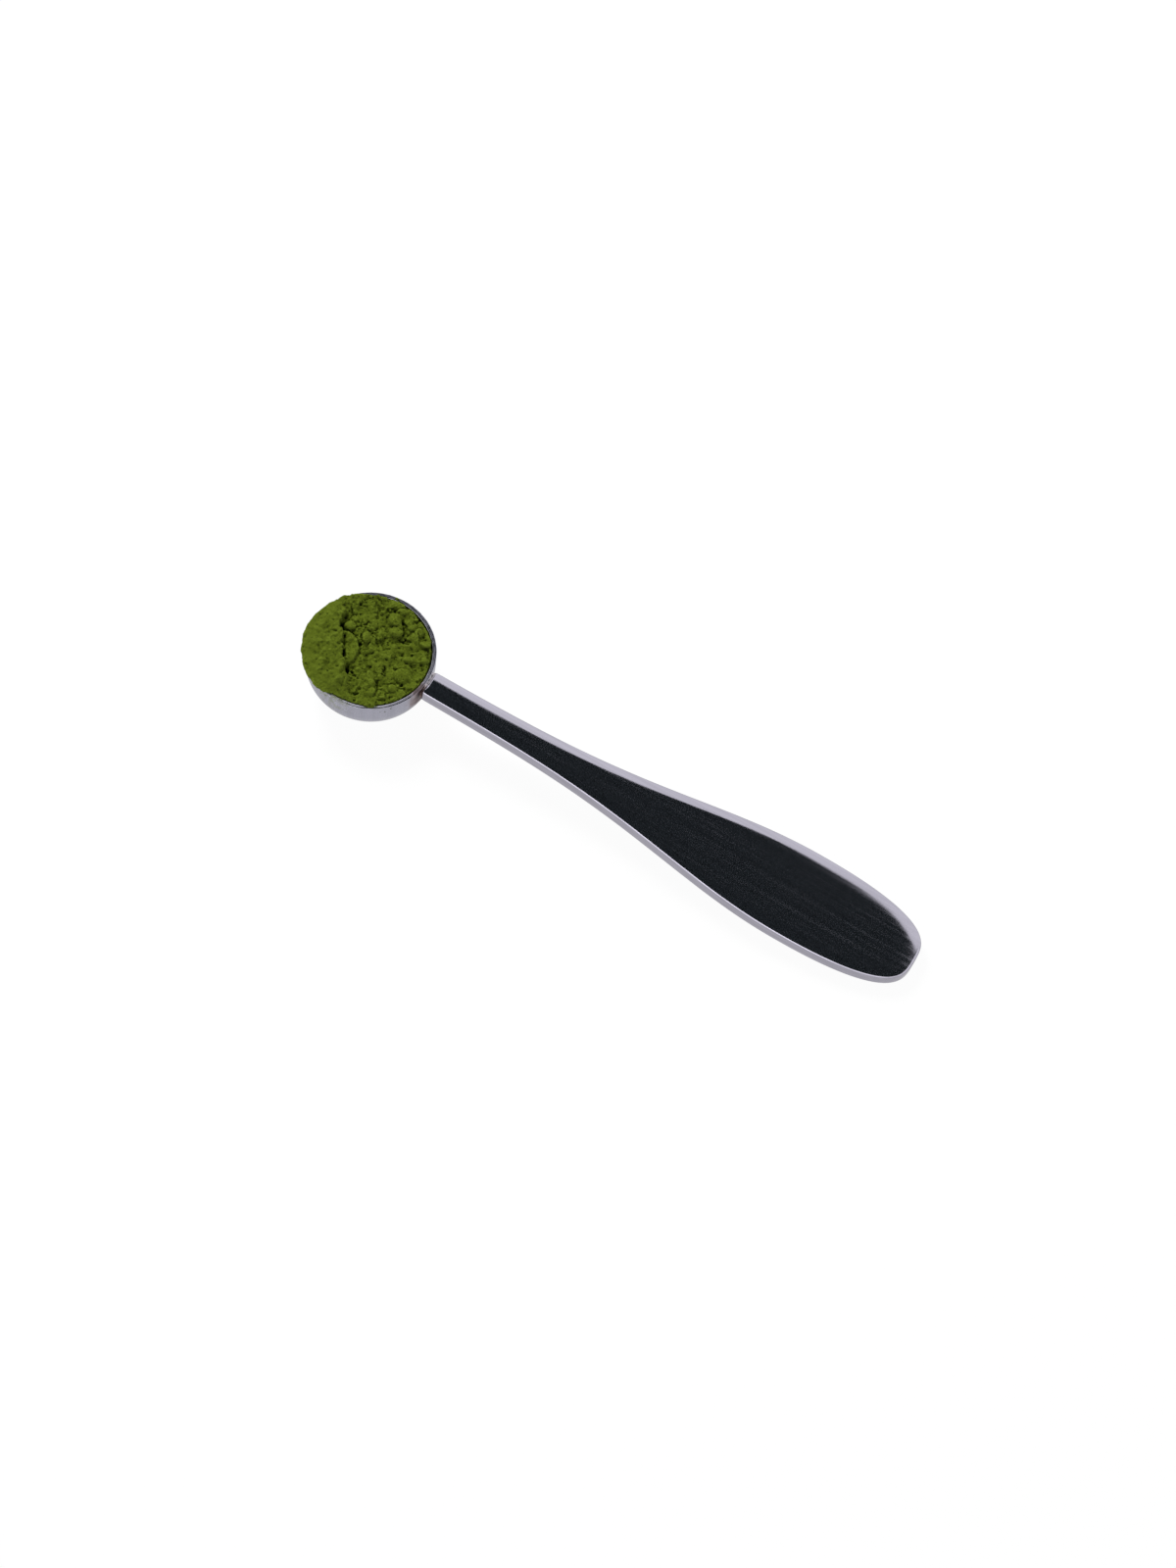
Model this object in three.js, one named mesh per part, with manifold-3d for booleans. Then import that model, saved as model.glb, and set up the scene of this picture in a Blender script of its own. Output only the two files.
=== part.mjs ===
// Matcha measuring spoon: a drawn round cup, a solid paddle handle, the weld between them
// and a heap of powder in the cup.  Millimetres, +Z up.  The origin is the centre of the
// cup's flat base and the handle runs along +X, down to the level of that base, so a
// loaded spoon lies level on a table.

import * as THREE from "three";
import { mergeVertices } from "three/addons/utils/BufferGeometryUtils.js";
import Module from "manifold-3d";

const wasm = await Module();
wasm.setup();

// Cup
const cupDiameter = 22.5;
const cupHeight = 9.6;
const cupWall = 0.68;
const cupBottomRadius = 7.3;
const cupStraightWallLeast = 1.2;
const cupBaseRadiusLeast = 1.5;
const rimEdgeRadius = 0.18;

// Handle, measured along the bar from its square neck end
const handleLength = 95.5;
const handleThickness = 3.0;
const handleBelowRim = 0.15;
const neckWidth = 4.7;
const neckCornerCut = 0.3;
const neckEndRounding = 0.55;
const paddleWidth = 16.9;
const paddleFromNeck = 72.7;
const flareSpread = 22.5;
const tipFullnessAlong = 2.39;
const tipFullnessAcross = 3.12;
const shoulderWidth = 1.6;
const shoulderTipWidth = 2.9;
const shoulderWidensFrom = 0.62;
const shoulderWidensTo = 0.93;
const shoulderDrop = 0.2;
const shoulderCurve = 1.7;
const handleEdgeRadius = 0.45;

// Weld between the neck end and the cup wall
const weldGap = 0.2;
const weldClearance = 0.05;
const weldBelowTop = 0.5;
const weldAboveUnderside = 0.15;
const weldSideInset = 0.1;
const weldCornerRadius = 0.7;
const weldReachIntoWall = 1.2;

// Powder
const powderClearance = 0.3;
const powderBelowRim = 0.7;
const powderOverhang = 1.28;
const powderLipHeight = 0.45;
const powderFloorBelowRim = 0.2;
const heapRise = 1.0;
const heapDirection = Math.PI;
const heapFarFullAngle = 0.5;
const heapFarFadeAngle = 1.5;
const heapNearFullAngle = 1.1;
const heapNearFadeAngle = 2.2;
const scarpFromAxis = 4.6;
const scarpTurn = 0.54;
const scarpWidth = 0.7;
const scarpEndWidth = 3.4;
const creviceFromScarp = 0.35;
const creviceWidth = 0.4;
const creviceLength = 9.0;
const creviceShift = 1.75;
const creviceDepth = 0.8;
const creviceCount = 3;
const creviceStagger = 0.16;
const creviceTurn = 0.14;
const powderEdgeBlend = 0.34;

// Ends of the scarp, crack and clumps in the powder's floor, as shares of the powder's radius
const scarpNearEnd = [-0.73, -0.45];
const scarpFarEnd = [0.35, 0.61];
const crackCentre = [-0.44, -0.245];
const crackRadius = 0.304;
const crackWidth = 0.032;
const crackDepth = 0.075;
const crackTurn = [-0.35, 1.75];
const largeClumps = [
  [0.05, 0.72, 0.127],
  [0.28, 0.77, 0.074],
  [0.19, 0.52, 0.103],
  [0.71, 0.56, 0.083],
  [0.53, 0.7, 0.088],
  [-0.02, 0.46, 0.05],
  [-0.54, 0.23, 0.093],
  [0.44, 0.54, 0.06],
  [0.27, 0.11, 0.05],
  [0.7, -0.13, 0.132],
  [0.66, -0.43, 0.083],
  [0.82, -0.4, 0.064],
  [0.25, -0.74, 0.05],
  [0.87, 0.29, 0.074],
  [-0.19, 0.19, 0.09],
];
const smallClumpCount = 42;
const smallClumpSize = 0.064;
const smallClumpSpread = 0.4;
const smallClumpStray = 0.35;
const clumpShape = [1.05, 0.92, 0.72];

// Facets
const cupSegments = 72;
const bottomArcSteps = 10;
const rimArcSteps = 4;
const flareStations = 38;
const tipStations = 26;
const shoulderSteps = 3;
const edgeArcSteps = 4;
const powderSegments = 64;
const powderRings = 14;
const powderArcSteps = 5;
const clumpFacets = 1;
const crackSteps = 10;

// Values that follow from the sizes above
const cupRadius = cupDiameter / 2;
const bottomRadius = Math.min(
  cupBottomRadius,
  cupHeight - cupStraightWallLeast,
  cupRadius - cupBaseRadiusLeast,
);
const baseRadius = cupRadius - bottomRadius;
const rimRadius = Math.min(rimEdgeRadius, 0.45 * cupWall);
const shoulderNeckWidth = Math.min(shoulderWidth, 0.85 * (neckWidth / 2 - handleEdgeRadius));
const powderRadius = cupRadius - cupWall - powderClearance;
const powderFloorZ = cupHeight - powderFloorBelowRim;
const neckEndX = cupRadius + weldGap;
const handleTopZ = cupHeight - handleBelowRim;
const handleDroop = droopAngle();

const steel = { metalness: 1, roughness: 0.16 };

/** Angle that brings the underside of the tip down to the level of the cup's base. */
function droopAngle() {
  const contactLength = handleLength - handleEdgeRadius;
  const reach = Math.hypot(contactLength, handleThickness);
  return Math.asin(handleTopZ / reach) - Math.atan2(handleThickness, contactLength);
}

/** Points of a circular arc in the section plane, both ends included. */
function arc(centreR, centreZ, radius, from, to, steps) {
  return Array.from({ length: steps + 1 }, (_, i) => {
    const angle = from + ((to - from) * i) / steps;
    return new THREE.Vector2(centreR + radius * Math.cos(angle), centreZ + radius * Math.sin(angle));
  });
}

/** Smooth step from 0 at the low value to 1 at the high value. */
function smooth(value, low, high) {
  const t = THREE.MathUtils.clamp((value - low) / (high - low), 0, 1);
  return t * t * (3 - 2 * t);
}

/** Revolves a profile of (radius, height) points about the Z axis. */
function revolve(profile, segments) {
  return new THREE.LatheGeometry(profile, segments).rotateX(Math.PI / 2);
}

/** A closed manifold solid from a closed three.js geometry. */
function toSolid(geometry) {
  const bare = geometry.clone();
  bare.deleteAttribute("normal");
  bare.deleteAttribute("uv");
  const merged = mergeVertices(bare, 1e-5);
  const index = merged.index.array;
  const triangles = [];
  for (let i = 0; i < index.length; i += 3) {
    const [a, b, c] = [index[i], index[i + 1], index[i + 2]];
    if (a !== b && b !== c && c !== a) triangles.push(a, b, c);
  }
  return new wasm.Manifold(new wasm.Mesh({
    numProp: 3,
    vertProperties: Float32Array.from(merged.attributes.position.array),
    triVerts: Uint32Array.from(triangles),
  }));
}

/** Back from a manifold solid to a three.js geometry. */
function toGeometry(solid) {
  const mesh = solid.getMesh();
  const geometry = new THREE.BufferGeometry();
  geometry.setAttribute("position", new THREE.BufferAttribute(mesh.vertProperties, mesh.numProp));
  geometry.setIndex(new THREE.BufferAttribute(mesh.triVerts, 1));
  return geometry;
}

/** Named mesh with its own standard material. */
function piece(name, geometry, colour, finish) {
  const mesh = new THREE.Mesh(geometry, new THREE.MeshStandardMaterial({ color: colour, ...finish }));
  mesh.name = name;
  return mesh;
}

/** Outer profile of the cup from the base centre to the foot of the rim's rounding. */
function cupOutside(grow) {
  return [
    new THREE.Vector2(0, -grow),
    ...arc(baseRadius, bottomRadius, bottomRadius + grow, -Math.PI / 2, 0, bottomArcSteps),
  ];
}

/** Drawn cup: outside, rim rounded on both edges, inside. */
function cupGeometry() {
  const innerRadius = cupRadius - cupWall;
  const edgeZ = cupHeight - rimRadius;
  const profile = [
    ...cupOutside(0),
    ...arc(cupRadius - rimRadius, edgeZ, rimRadius, 0, Math.PI / 2, rimArcSteps),
    ...arc(innerRadius + rimRadius, edgeZ, rimRadius, Math.PI / 2, Math.PI, rimArcSteps),
    ...arc(baseRadius, bottomRadius, bottomRadius - cupWall, 0, -Math.PI / 2, bottomArcSteps),
    new THREE.Vector2(0, cupWall),
  ];
  return revolve(profile, cupSegments);
}

/** Point of the handle's plan outline on the +Y side; t runs from 0 at the neck to 1 at the tip. */
function outlinePoint(t) {
  const share = flareStations / (flareStations + tipStations);
  if (t <= share) {
    const x = (paddleFromNeck * t) / share;
    const bell = Math.exp(-0.5 * ((paddleFromNeck - x) / flareSpread) ** 2);
    return new THREE.Vector2(x, neckWidth / 2 + ((paddleWidth - neckWidth) / 2) * bell);
  }
  const turn = (Math.PI / 2) * ((t - share) / (1 - share));
  const along = Math.sin(turn) ** (2 / tipFullnessAlong);
  const across = Math.max(Math.cos(turn), 0) ** (2 / tipFullnessAcross);
  const tipLength = handleLength - paddleFromNeck;
  return new THREE.Vector2(paddleFromNeck + tipLength * along, (paddleWidth / 2) * across);
}

/** Width of the sloped shoulder at a distance from the neck end; it grows towards the tip. */
function shoulderAt(x) {
  const wide = smooth(x / handleLength, shoulderWidensFrom, shoulderWidensTo);
  return THREE.MathUtils.lerp(shoulderNeckWidth, shoulderTipWidth, wide);
}

/** Outline drawn in by an edge inset and a share of the shoulder; the neck end is rounded less. */
function insetOutline(edgeInset, share) {
  const endInset = neckEndRounding * edgeInset;
  const count = flareStations + tipStations;
  const step = 1e-4;
  const points = [];
  for (let i = 1; i < count; i += 1) {
    const t = i / count;
    const point = outlinePoint(t);
    const tangent = outlinePoint(t + step).sub(outlinePoint(t - step)).normalize();
    const inward = new THREE.Vector2(tangent.y, -tangent.x);
    points.push(point.clone().add(inward.multiplyScalar(edgeInset + share * shoulderAt(point.x))));
  }
  const sideY = neckWidth / 2 - edgeInset - share * shoulderNeckWidth;
  const cut = Math.min(neckCornerCut, 0.8 * sideY);
  return [
    new THREE.Vector2(endInset, sideY - cut),
    new THREE.Vector2(endInset + cut, sideY),
    ...points,
    new THREE.Vector2(handleLength - edgeInset - share * shoulderAt(handleLength), 0),
  ];
}

/** Section of the handle's side as rows of edge inset, shoulder share and height, top to bottom. */
function handleLevels() {
  const radius = handleEdgeRadius;
  const levels = [];
  for (let i = 0; i < shoulderSteps; i += 1) {
    const u = i / shoulderSteps;
    levels.push({ edgeInset: radius, share: 1 - u, z: -shoulderDrop * u ** shoulderCurve });
  }
  for (const { x, y } of arc(0, 0, radius, Math.PI / 2, 0, edgeArcSteps)) {
    levels.push({ edgeInset: radius - x, share: 0, z: y - radius - shoulderDrop });
  }
  for (const { x, y } of arc(0, 0, radius, 0, -Math.PI / 2, edgeArcSteps)) {
    levels.push({ edgeInset: radius - x, share: 0, z: y + radius - handleThickness });
  }
  return levels;
}

/** Solid paddle handle, lofted through inset outlines and closed by a flat top and underside. */
function handleGeometry() {
  const rings = handleLevels().map(({ edgeInset, share, z }) => {
    const half = insetOutline(edgeInset, share);
    const mirrored = half.slice(0, -1).reverse().map((p) => new THREE.Vector2(p.x, -p.y));
    return [...half, ...mirrored].map((p) => new THREE.Vector3(p.x, p.y, z));
  });
  const size = rings[0].length;
  const triangles = [];
  const quad = (a, b, c, d) => triangles.push(a, b, c, a, c, d);
  for (let ring = 0; ring + 1 < rings.length; ring += 1) {
    for (let i = 0; i < size; i += 1) {
      const next = (i + 1) % size;
      const upper = ring * size;
      quad(upper + i, upper + next, upper + size + next, upper + size + i);
    }
  }
  const last = (rings.length - 1) * size;
  const tip = (size - 1) / 2;
  for (let i = 0; i < tip; i += 1) {
    const [far, farNext, near, nearNext] = [i, i + 1, size - 1 - i, size - 2 - i];
    triangles.push(far, near, farNext);
    triangles.push(last + far, last + farNext, last + near);
    if (farNext === nearNext) continue;
    triangles.push(near, nearNext, farNext);
    triangles.push(last + near, last + farNext, last + nearNext);
  }
  const geometry = new THREE.BufferGeometry().setFromPoints(rings.flat());
  geometry.setIndex(triangles);
  return geometry;
}

/** Weld metal: a rounded block behind the neck end, cut to the cup's round wall. */
function weldGeometry(handlePlace) {
  const half = neckWidth / 2 - weldSideInset;
  const [low, high] = [weldAboveUnderside - handleThickness, -weldBelowTop];
  const r = Math.min(weldCornerRadius, 0.45 * (high - low), 0.45 * neckWidth);
  const outline = new THREE.Shape();
  outline.moveTo(half, low + r);
  outline.absarc(half - r, high - r, r, 0, Math.PI / 2);
  outline.absarc(r - half, high - r, r, Math.PI / 2, Math.PI);
  outline.absarc(r - half, low + r, r, Math.PI, 1.5 * Math.PI);
  outline.absarc(half - r, low + r, r, 1.5 * Math.PI, 2 * Math.PI);
  const block = new THREE.ExtrudeGeometry(outline, {
    depth: weldGap + weldReachIntoWall,
    bevelEnabled: false,
    curveSegments: edgeArcSteps,
  });
  const alongHandle = new THREE.Matrix4().makeBasis(
    new THREE.Vector3(0, 1, 0),
    new THREE.Vector3(0, 0, 1),
    new THREE.Vector3(1, 0, 0),
  );
  block.applyMatrix4(alongHandle);
  block.translate(-weldGap - weldReachIntoWall - weldClearance, 0, 0);
  block.applyMatrix4(handlePlace);
  const wall = [...cupOutside(weldClearance), new THREE.Vector2(cupRadius + weldClearance, cupHeight)];
  wall.push(new THREE.Vector2(0, cupHeight));
  return toGeometry(toSolid(block).subtract(toSolid(revolve(wall, cupSegments))));
}

/** How far the heap covers the rim in a direction: 1 away from the handle, 0 beside it. */
function heapCover(angle) {
  const off = Math.atan2(Math.sin(angle - heapDirection), Math.cos(angle - heapDirection));
  return 1 - (off > 0
    ? smooth(off, heapNearFullAngle, heapNearFadeAngle)
    : smooth(-off, heapFarFullAngle, heapFarFadeAngle));
}

/** Distance of a place behind the line of the scarp; negative on the crumbly floor. */
function behindScarp(x, y) {
  return -x * Math.cos(scarpTurn) - y * Math.sin(scarpTurn) - scarpFromAxis;
}

/** Edge of the powder in a direction: how far its lip reaches and how high the lip starts. */
function powderEdge(angle) {
  const cover = heapCover(angle);
  const raised = (powderBelowRim + powderClearance) * smooth(cover, 0, 0.5);
  return {
    reach: powderRadius + powderOverhang * smooth(cover, 0.5, 1),
    foot: cupHeight - powderBelowRim + raised,
  };
}

/** Share of the heap at a place: steep at the scarp, fading into the floor beyond its ends. */
function heapShare(x, y) {
  const across = y / powderRadius;
  const held = smooth(across, ...scarpNearEnd) * (1 - smooth(across, ...scarpFarEnd));
  const width = scarpWidth + scarpEndWidth * (1 - held);
  return smooth(behindScarp(x, y), -width / 2, width / 2);
}

/** Height of the powder's top: floor, then heap, both drawn to the crest of the edge. */
function powderTop(x, y) {
  const { reach, foot } = powderEdge(Math.atan2(y, x));
  const onHeap = heapShare(x, y);
  const inner = THREE.MathUtils.lerp(powderFloorZ, cupHeight + heapRise, onHeap);
  const blend = smooth(1 - Math.hypot(x, y) / reach, 0, powderEdgeBlend);
  return THREE.MathUtils.lerp(foot + powderLipHeight, inner, blend);
}

/** Bed of powder: the cup's inside less a clearance, a lip over the rim behind the heap, its top. */
function powderBed() {
  const under = arc(
    baseRadius, bottomRadius, bottomRadius - cupWall - powderClearance, -Math.PI / 2, 0, powderArcSteps,
  );
  const points = [new THREE.Vector3(0, 0, cupWall + powderClearance)];
  let profileLength = 0;
  for (let i = 0; i < powderSegments; i += 1) {
    const angle = (2 * Math.PI * i) / powderSegments;
    const { reach, foot } = powderEdge(angle);
    const profile = under.map((p) => [p.x, p.y]);
    profile.push([powderRadius, foot], [reach, foot + 0.2 * powderLipHeight]);
    for (let ring = powderRings; ring > 0; ring -= 1) {
      const r = (reach * ring) / (powderRings + 1);
      profile.push([r, powderTop(r * Math.cos(angle), r * Math.sin(angle))]);
    }
    profileLength = profile.length;
    for (const [r, z] of profile) {
      points.push(new THREE.Vector3(r * Math.cos(angle), r * Math.sin(angle), z));
    }
  }
  points.push(new THREE.Vector3(0, 0, powderTop(0, 0)));
  const crown = points.length - 1;
  const triangles = [];
  for (let i = 0; i < powderSegments; i += 1) {
    const here = 1 + i * profileLength;
    const next = 1 + ((i + 1) % powderSegments) * profileLength;
    triangles.push(0, next, here);
    for (let j = 0; j + 1 < profileLength; j += 1) {
      triangles.push(here + j, next + j, next + j + 1, here + j, next + j + 1, here + j + 1);
    }
    triangles.push(here + profileLength - 1, next + profileLength - 1, crown);
  }
  const geometry = new THREE.BufferGeometry().setFromPoints(points);
  geometry.setIndex(triangles);
  return geometry;
}

/** Clumps on the crumbly floor: the large ones, then smaller ones strewn at the golden angle. */
function clumpPlaces() {
  const small = Array.from({ length: smallClumpCount }, (_, i) => {
    const turn = i * Math.PI * (3 - Math.sqrt(5));
    const bent = turn + smallClumpStray * Math.sin(3 * turn);
    const size = smallClumpSize * (1 + smallClumpSpread * Math.sin(5 * turn));
    const distance = (1 - 1.1 * size) * Math.sqrt((i + 0.5) / smallClumpCount);
    return [distance * Math.cos(bent), distance * Math.sin(bent), size];
  });
  const [slabX, slabY] = crackCentre;
  const offSlab = small.filter(([x, y]) => Math.hypot(x - slabX, y - slabY) > 1.2 * crackRadius);
  return [...largeClumps, ...offSlab]
    .map((shares) => shares.map((share) => share * powderRadius))
    .filter(([x, y, size]) => behindScarp(x, y) < -0.9 * size);
}

/** One clump: an uneven ball, half sunk in the floor. */
function clumpGeometry([x, y, size], i) {
  const ball = new THREE.IcosahedronGeometry(size, clumpFacets);
  return ball.scale(...clumpShape).rotateZ(2 * i).translate(x, y, powderTop(x, y));
}

/** Curved crack round a slab of floor, to be cut from the powder. */
function crackGeometry() {
  const [from, to] = crackTurn;
  const band = new THREE.Shape();
  band.absarc(0, 0, powderRadius * (crackRadius + crackWidth / 2), from, to, false);
  band.absarc(0, 0, powderRadius * (crackRadius - crackWidth / 2), to, from, true);
  const depth = crackDepth * powderRadius;
  const groove = new THREE.ExtrudeGeometry(band, {
    depth: 2 * depth,
    bevelEnabled: false,
    curveSegments: crackSteps,
  });
  const [x, y] = crackCentre;
  return groove.translate(x * powderRadius, y * powderRadius, powderFloorZ - depth);
}

/** One of the staggered crevices along the foot of the scarp, to be cut from the powder. */
function creviceGeometry(i) {
  const length = creviceLength / creviceCount;
  const side = i % 2 ? 1 : -1;
  const slot = new THREE.BoxGeometry(creviceWidth, length, 2 * creviceDepth);
  slot.rotateZ(side * creviceTurn);
  const along = creviceShift + (i - (creviceCount - 1) / 2) * length;
  slot.translate(creviceFromScarp - scarpFromAxis + side * creviceStagger, along, powderFloorZ);
  return slot.rotateZ(scarpTurn);
}

/** Powder: its bed with the clumps on it and the crack and the crevices cut into it. */
function powderGeometry() {
  const clumps = clumpPlaces().map((place, i) => toSolid(clumpGeometry(place, i)));
  const heaped = wasm.Manifold.union([toSolid(powderBed()), ...clumps]);
  const crevices = Array.from({ length: creviceCount }, (_, i) => toSolid(creviceGeometry(i)));
  return toGeometry(wasm.Manifold.difference([heaped, toSolid(crackGeometry()), ...crevices]));
}

const cup = piece("cup", cupGeometry(), 0xb4b5bd, steel);

const handle = piece("handle", handleGeometry(), 0xa9abb4, steel);
handle.position.set(neckEndX, 0, handleTopZ);
handle.rotation.y = handleDroop;
handle.updateMatrix();

const weldSeam = piece("weld_seam", weldGeometry(handle.matrix), 0x9c9296, { metalness: 1, roughness: 0.38 });

const powder = piece("matcha_powder", powderGeometry(), 0x61702a, { metalness: 0, roughness: 1 });

const spoon = new THREE.Group();
spoon.add(cup, handle, weldSeam, powder);

export default spoon;
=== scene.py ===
"""Looks of a small steel measuring spoon with a heap of green powder in its cup.

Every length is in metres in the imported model's own frame: +Z is up, the origin is the
centre of the cup's base and the handle runs along +X. The powder is shaped at a scale of
one unit to the millimetre and brought to metres at the end.
"""
import logging
import math
from dataclasses import dataclass, field
from enum import Enum
from typing import Any, Iterable

import bmesh
import bpy
import numpy as np
from mathutils import Matrix, Vector, noise


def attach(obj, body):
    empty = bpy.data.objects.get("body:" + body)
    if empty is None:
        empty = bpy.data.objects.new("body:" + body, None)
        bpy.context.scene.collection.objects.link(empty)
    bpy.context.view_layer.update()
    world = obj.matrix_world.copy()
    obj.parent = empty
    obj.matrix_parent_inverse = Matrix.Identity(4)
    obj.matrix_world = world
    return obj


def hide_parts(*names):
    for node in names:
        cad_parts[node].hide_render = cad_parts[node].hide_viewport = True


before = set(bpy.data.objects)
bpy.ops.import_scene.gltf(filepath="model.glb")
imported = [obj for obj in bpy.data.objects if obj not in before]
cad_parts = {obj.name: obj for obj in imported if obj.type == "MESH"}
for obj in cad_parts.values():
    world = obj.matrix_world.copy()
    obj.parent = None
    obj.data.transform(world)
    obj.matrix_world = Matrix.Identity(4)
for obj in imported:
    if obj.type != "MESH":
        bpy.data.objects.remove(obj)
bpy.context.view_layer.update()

LOG = logging.getLogger("spoon")
MM = 0.001
QUARTER = math.pi / 2
GOLDEN_ANGLE = math.pi * (3.0 - math.sqrt(5.0))

# Sizes of the cup in millimetres, which its finish and the powder share.
CUP_RADIUS = 11.25
CUP_HEIGHT = 9.6
CUP_WALL = 0.68
CUP_BOTTOM = 6.2

FLOAT = "NodeSocketFloat"
WHOLE = "NodeSocketInt"
VECTOR = "NodeSocketVector"
COLOUR = "NodeSocketColor"
SHAPE = "NodeSocketGeometry"
SHADER = "ShaderNodeTree"
WHITE = (1.0, 1.0, 1.0, 1.0)

Pair = tuple[float, float]
Triple = tuple[float, float, float]
Colour = Triple
Point = Triple
Piece = bpy.types.Object
Material = bpy.types.Material
Tree = bpy.types.NodeTree
Socket = bpy.types.NodeSocket


class Body(Enum):
    """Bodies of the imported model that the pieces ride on."""

    SPOON = "spoon"
    POWDER = "powder"


class Slot(Enum):
    """Material slots of the record."""

    CUP_STEEL = "cup_steel"
    HANDLE_STEEL = "handle_steel"
    WELD_METAL = "weld_metal"
    GREEN_POWDER = "green_powder"


class Grain(Enum):
    """Ways in which the marks of making run over a steel surface."""

    LENGTHWISE = "along the handle"
    DRAWN = "up the cup's wall"
    CAST = "in no direction"


def smooth(value: Any, low: float, high: float) -> Any:
    """Smooth step from 0 at the low value to 1 at the high value."""
    t = np.clip((value - low) / (high - low), 0.0, 1.0)
    return t * t * (3.0 - 2.0 * t)


def ease(value: float, low: float, high: float) -> float:
    """Smooth step of one plain number."""
    return float(smooth(value, low, high))


def ripple(x: float, y: float, z: float) -> float:
    """Soft noise at a place, between about -1 and 1."""
    return noise.noise(Vector((x, y, z)))


def polar(distance: float, angle: float) -> Pair:
    """Place at a distance from the axis, in a direction."""
    return distance * math.cos(angle), distance * math.sin(angle)


def signed_degrees(angle: float) -> float:
    """Direction in degrees, between -180 and 180."""
    return math.degrees(math.atan2(math.sin(angle), math.cos(angle)))


def ring_faces(rings: int, size: int) -> list[tuple[int, ...]]:
    """Faces that join a stack of closed rings, each ring to the next.

    Args:
        rings: Number of rings.
        size: Number of points in each ring.

    Returns:
        Corner numbers of each face, counted ring by ring.
    """
    faces = []
    for first in range(0, (rings - 1) * size, size):
        for i in range(size):
            j = (i + 1) % size
            faces.append((first + i, first + j, first + size + j, first + size + i))
    return faces


def mesh_object(name: str, points: Iterable, faces: Iterable, edges: Iterable = ()) -> Piece:
    """Makes an object at the origin from plain lists, with smooth outward faces.

    Args:
        name: Name of the object and of its mesh.
        points: Corner points in metres.
        faces: Corner numbers of each face.
        edges: Corner numbers of each loose edge.

    Returns:
        The object, linked to the scene.
    """
    mesh = bpy.data.meshes.new(name)
    mesh.from_pydata([tuple(p) for p in points], [tuple(e) for e in edges], [tuple(f) for f in faces])
    made = bpy.data.objects.new(name, mesh)
    bpy.context.scene.collection.objects.link(made)
    if mesh.polygons:
        close_and_turn_out(made)
    return made


def close_and_turn_out(piece: Piece, distance: float = 1e-8) -> None:
    """Merges doubled corners, turns the faces outwards and shades them smooth.

    Args:
        piece: Mesh object to clean.
        distance: Corners closer than this become one.
    """
    shell = bmesh.new()
    shell.from_mesh(piece.data)
    bmesh.ops.remove_doubles(shell, verts=shell.verts, dist=distance)
    bmesh.ops.dissolve_degenerate(shell, edges=shell.edges, dist=distance)
    bmesh.ops.recalc_face_normals(shell, faces=shell.faces)
    for face in shell.faces:
        face.smooth = True
    shell.to_mesh(piece.data)
    shell.free()
    piece.data.update()


def hand_over(piece: Piece, body: Body, slot: Slot, *nodes: str) -> None:
    """Ties a finished piece to its body and hides the solids that it stands for.

    Args:
        piece: Finished piece at the origin.
        body: Body that it rides on.
        slot: Material slot of the record; not used.
        nodes: Solids that it replaces.
    """
    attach(piece, body.value)
    if nodes:
        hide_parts(*nodes)
    triangles = sum(len(face.vertices) - 2 for face in piece.data.polygons)
    LOG.info("%s rides on %s, %d triangles", piece.name, body.value, triangles)


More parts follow.
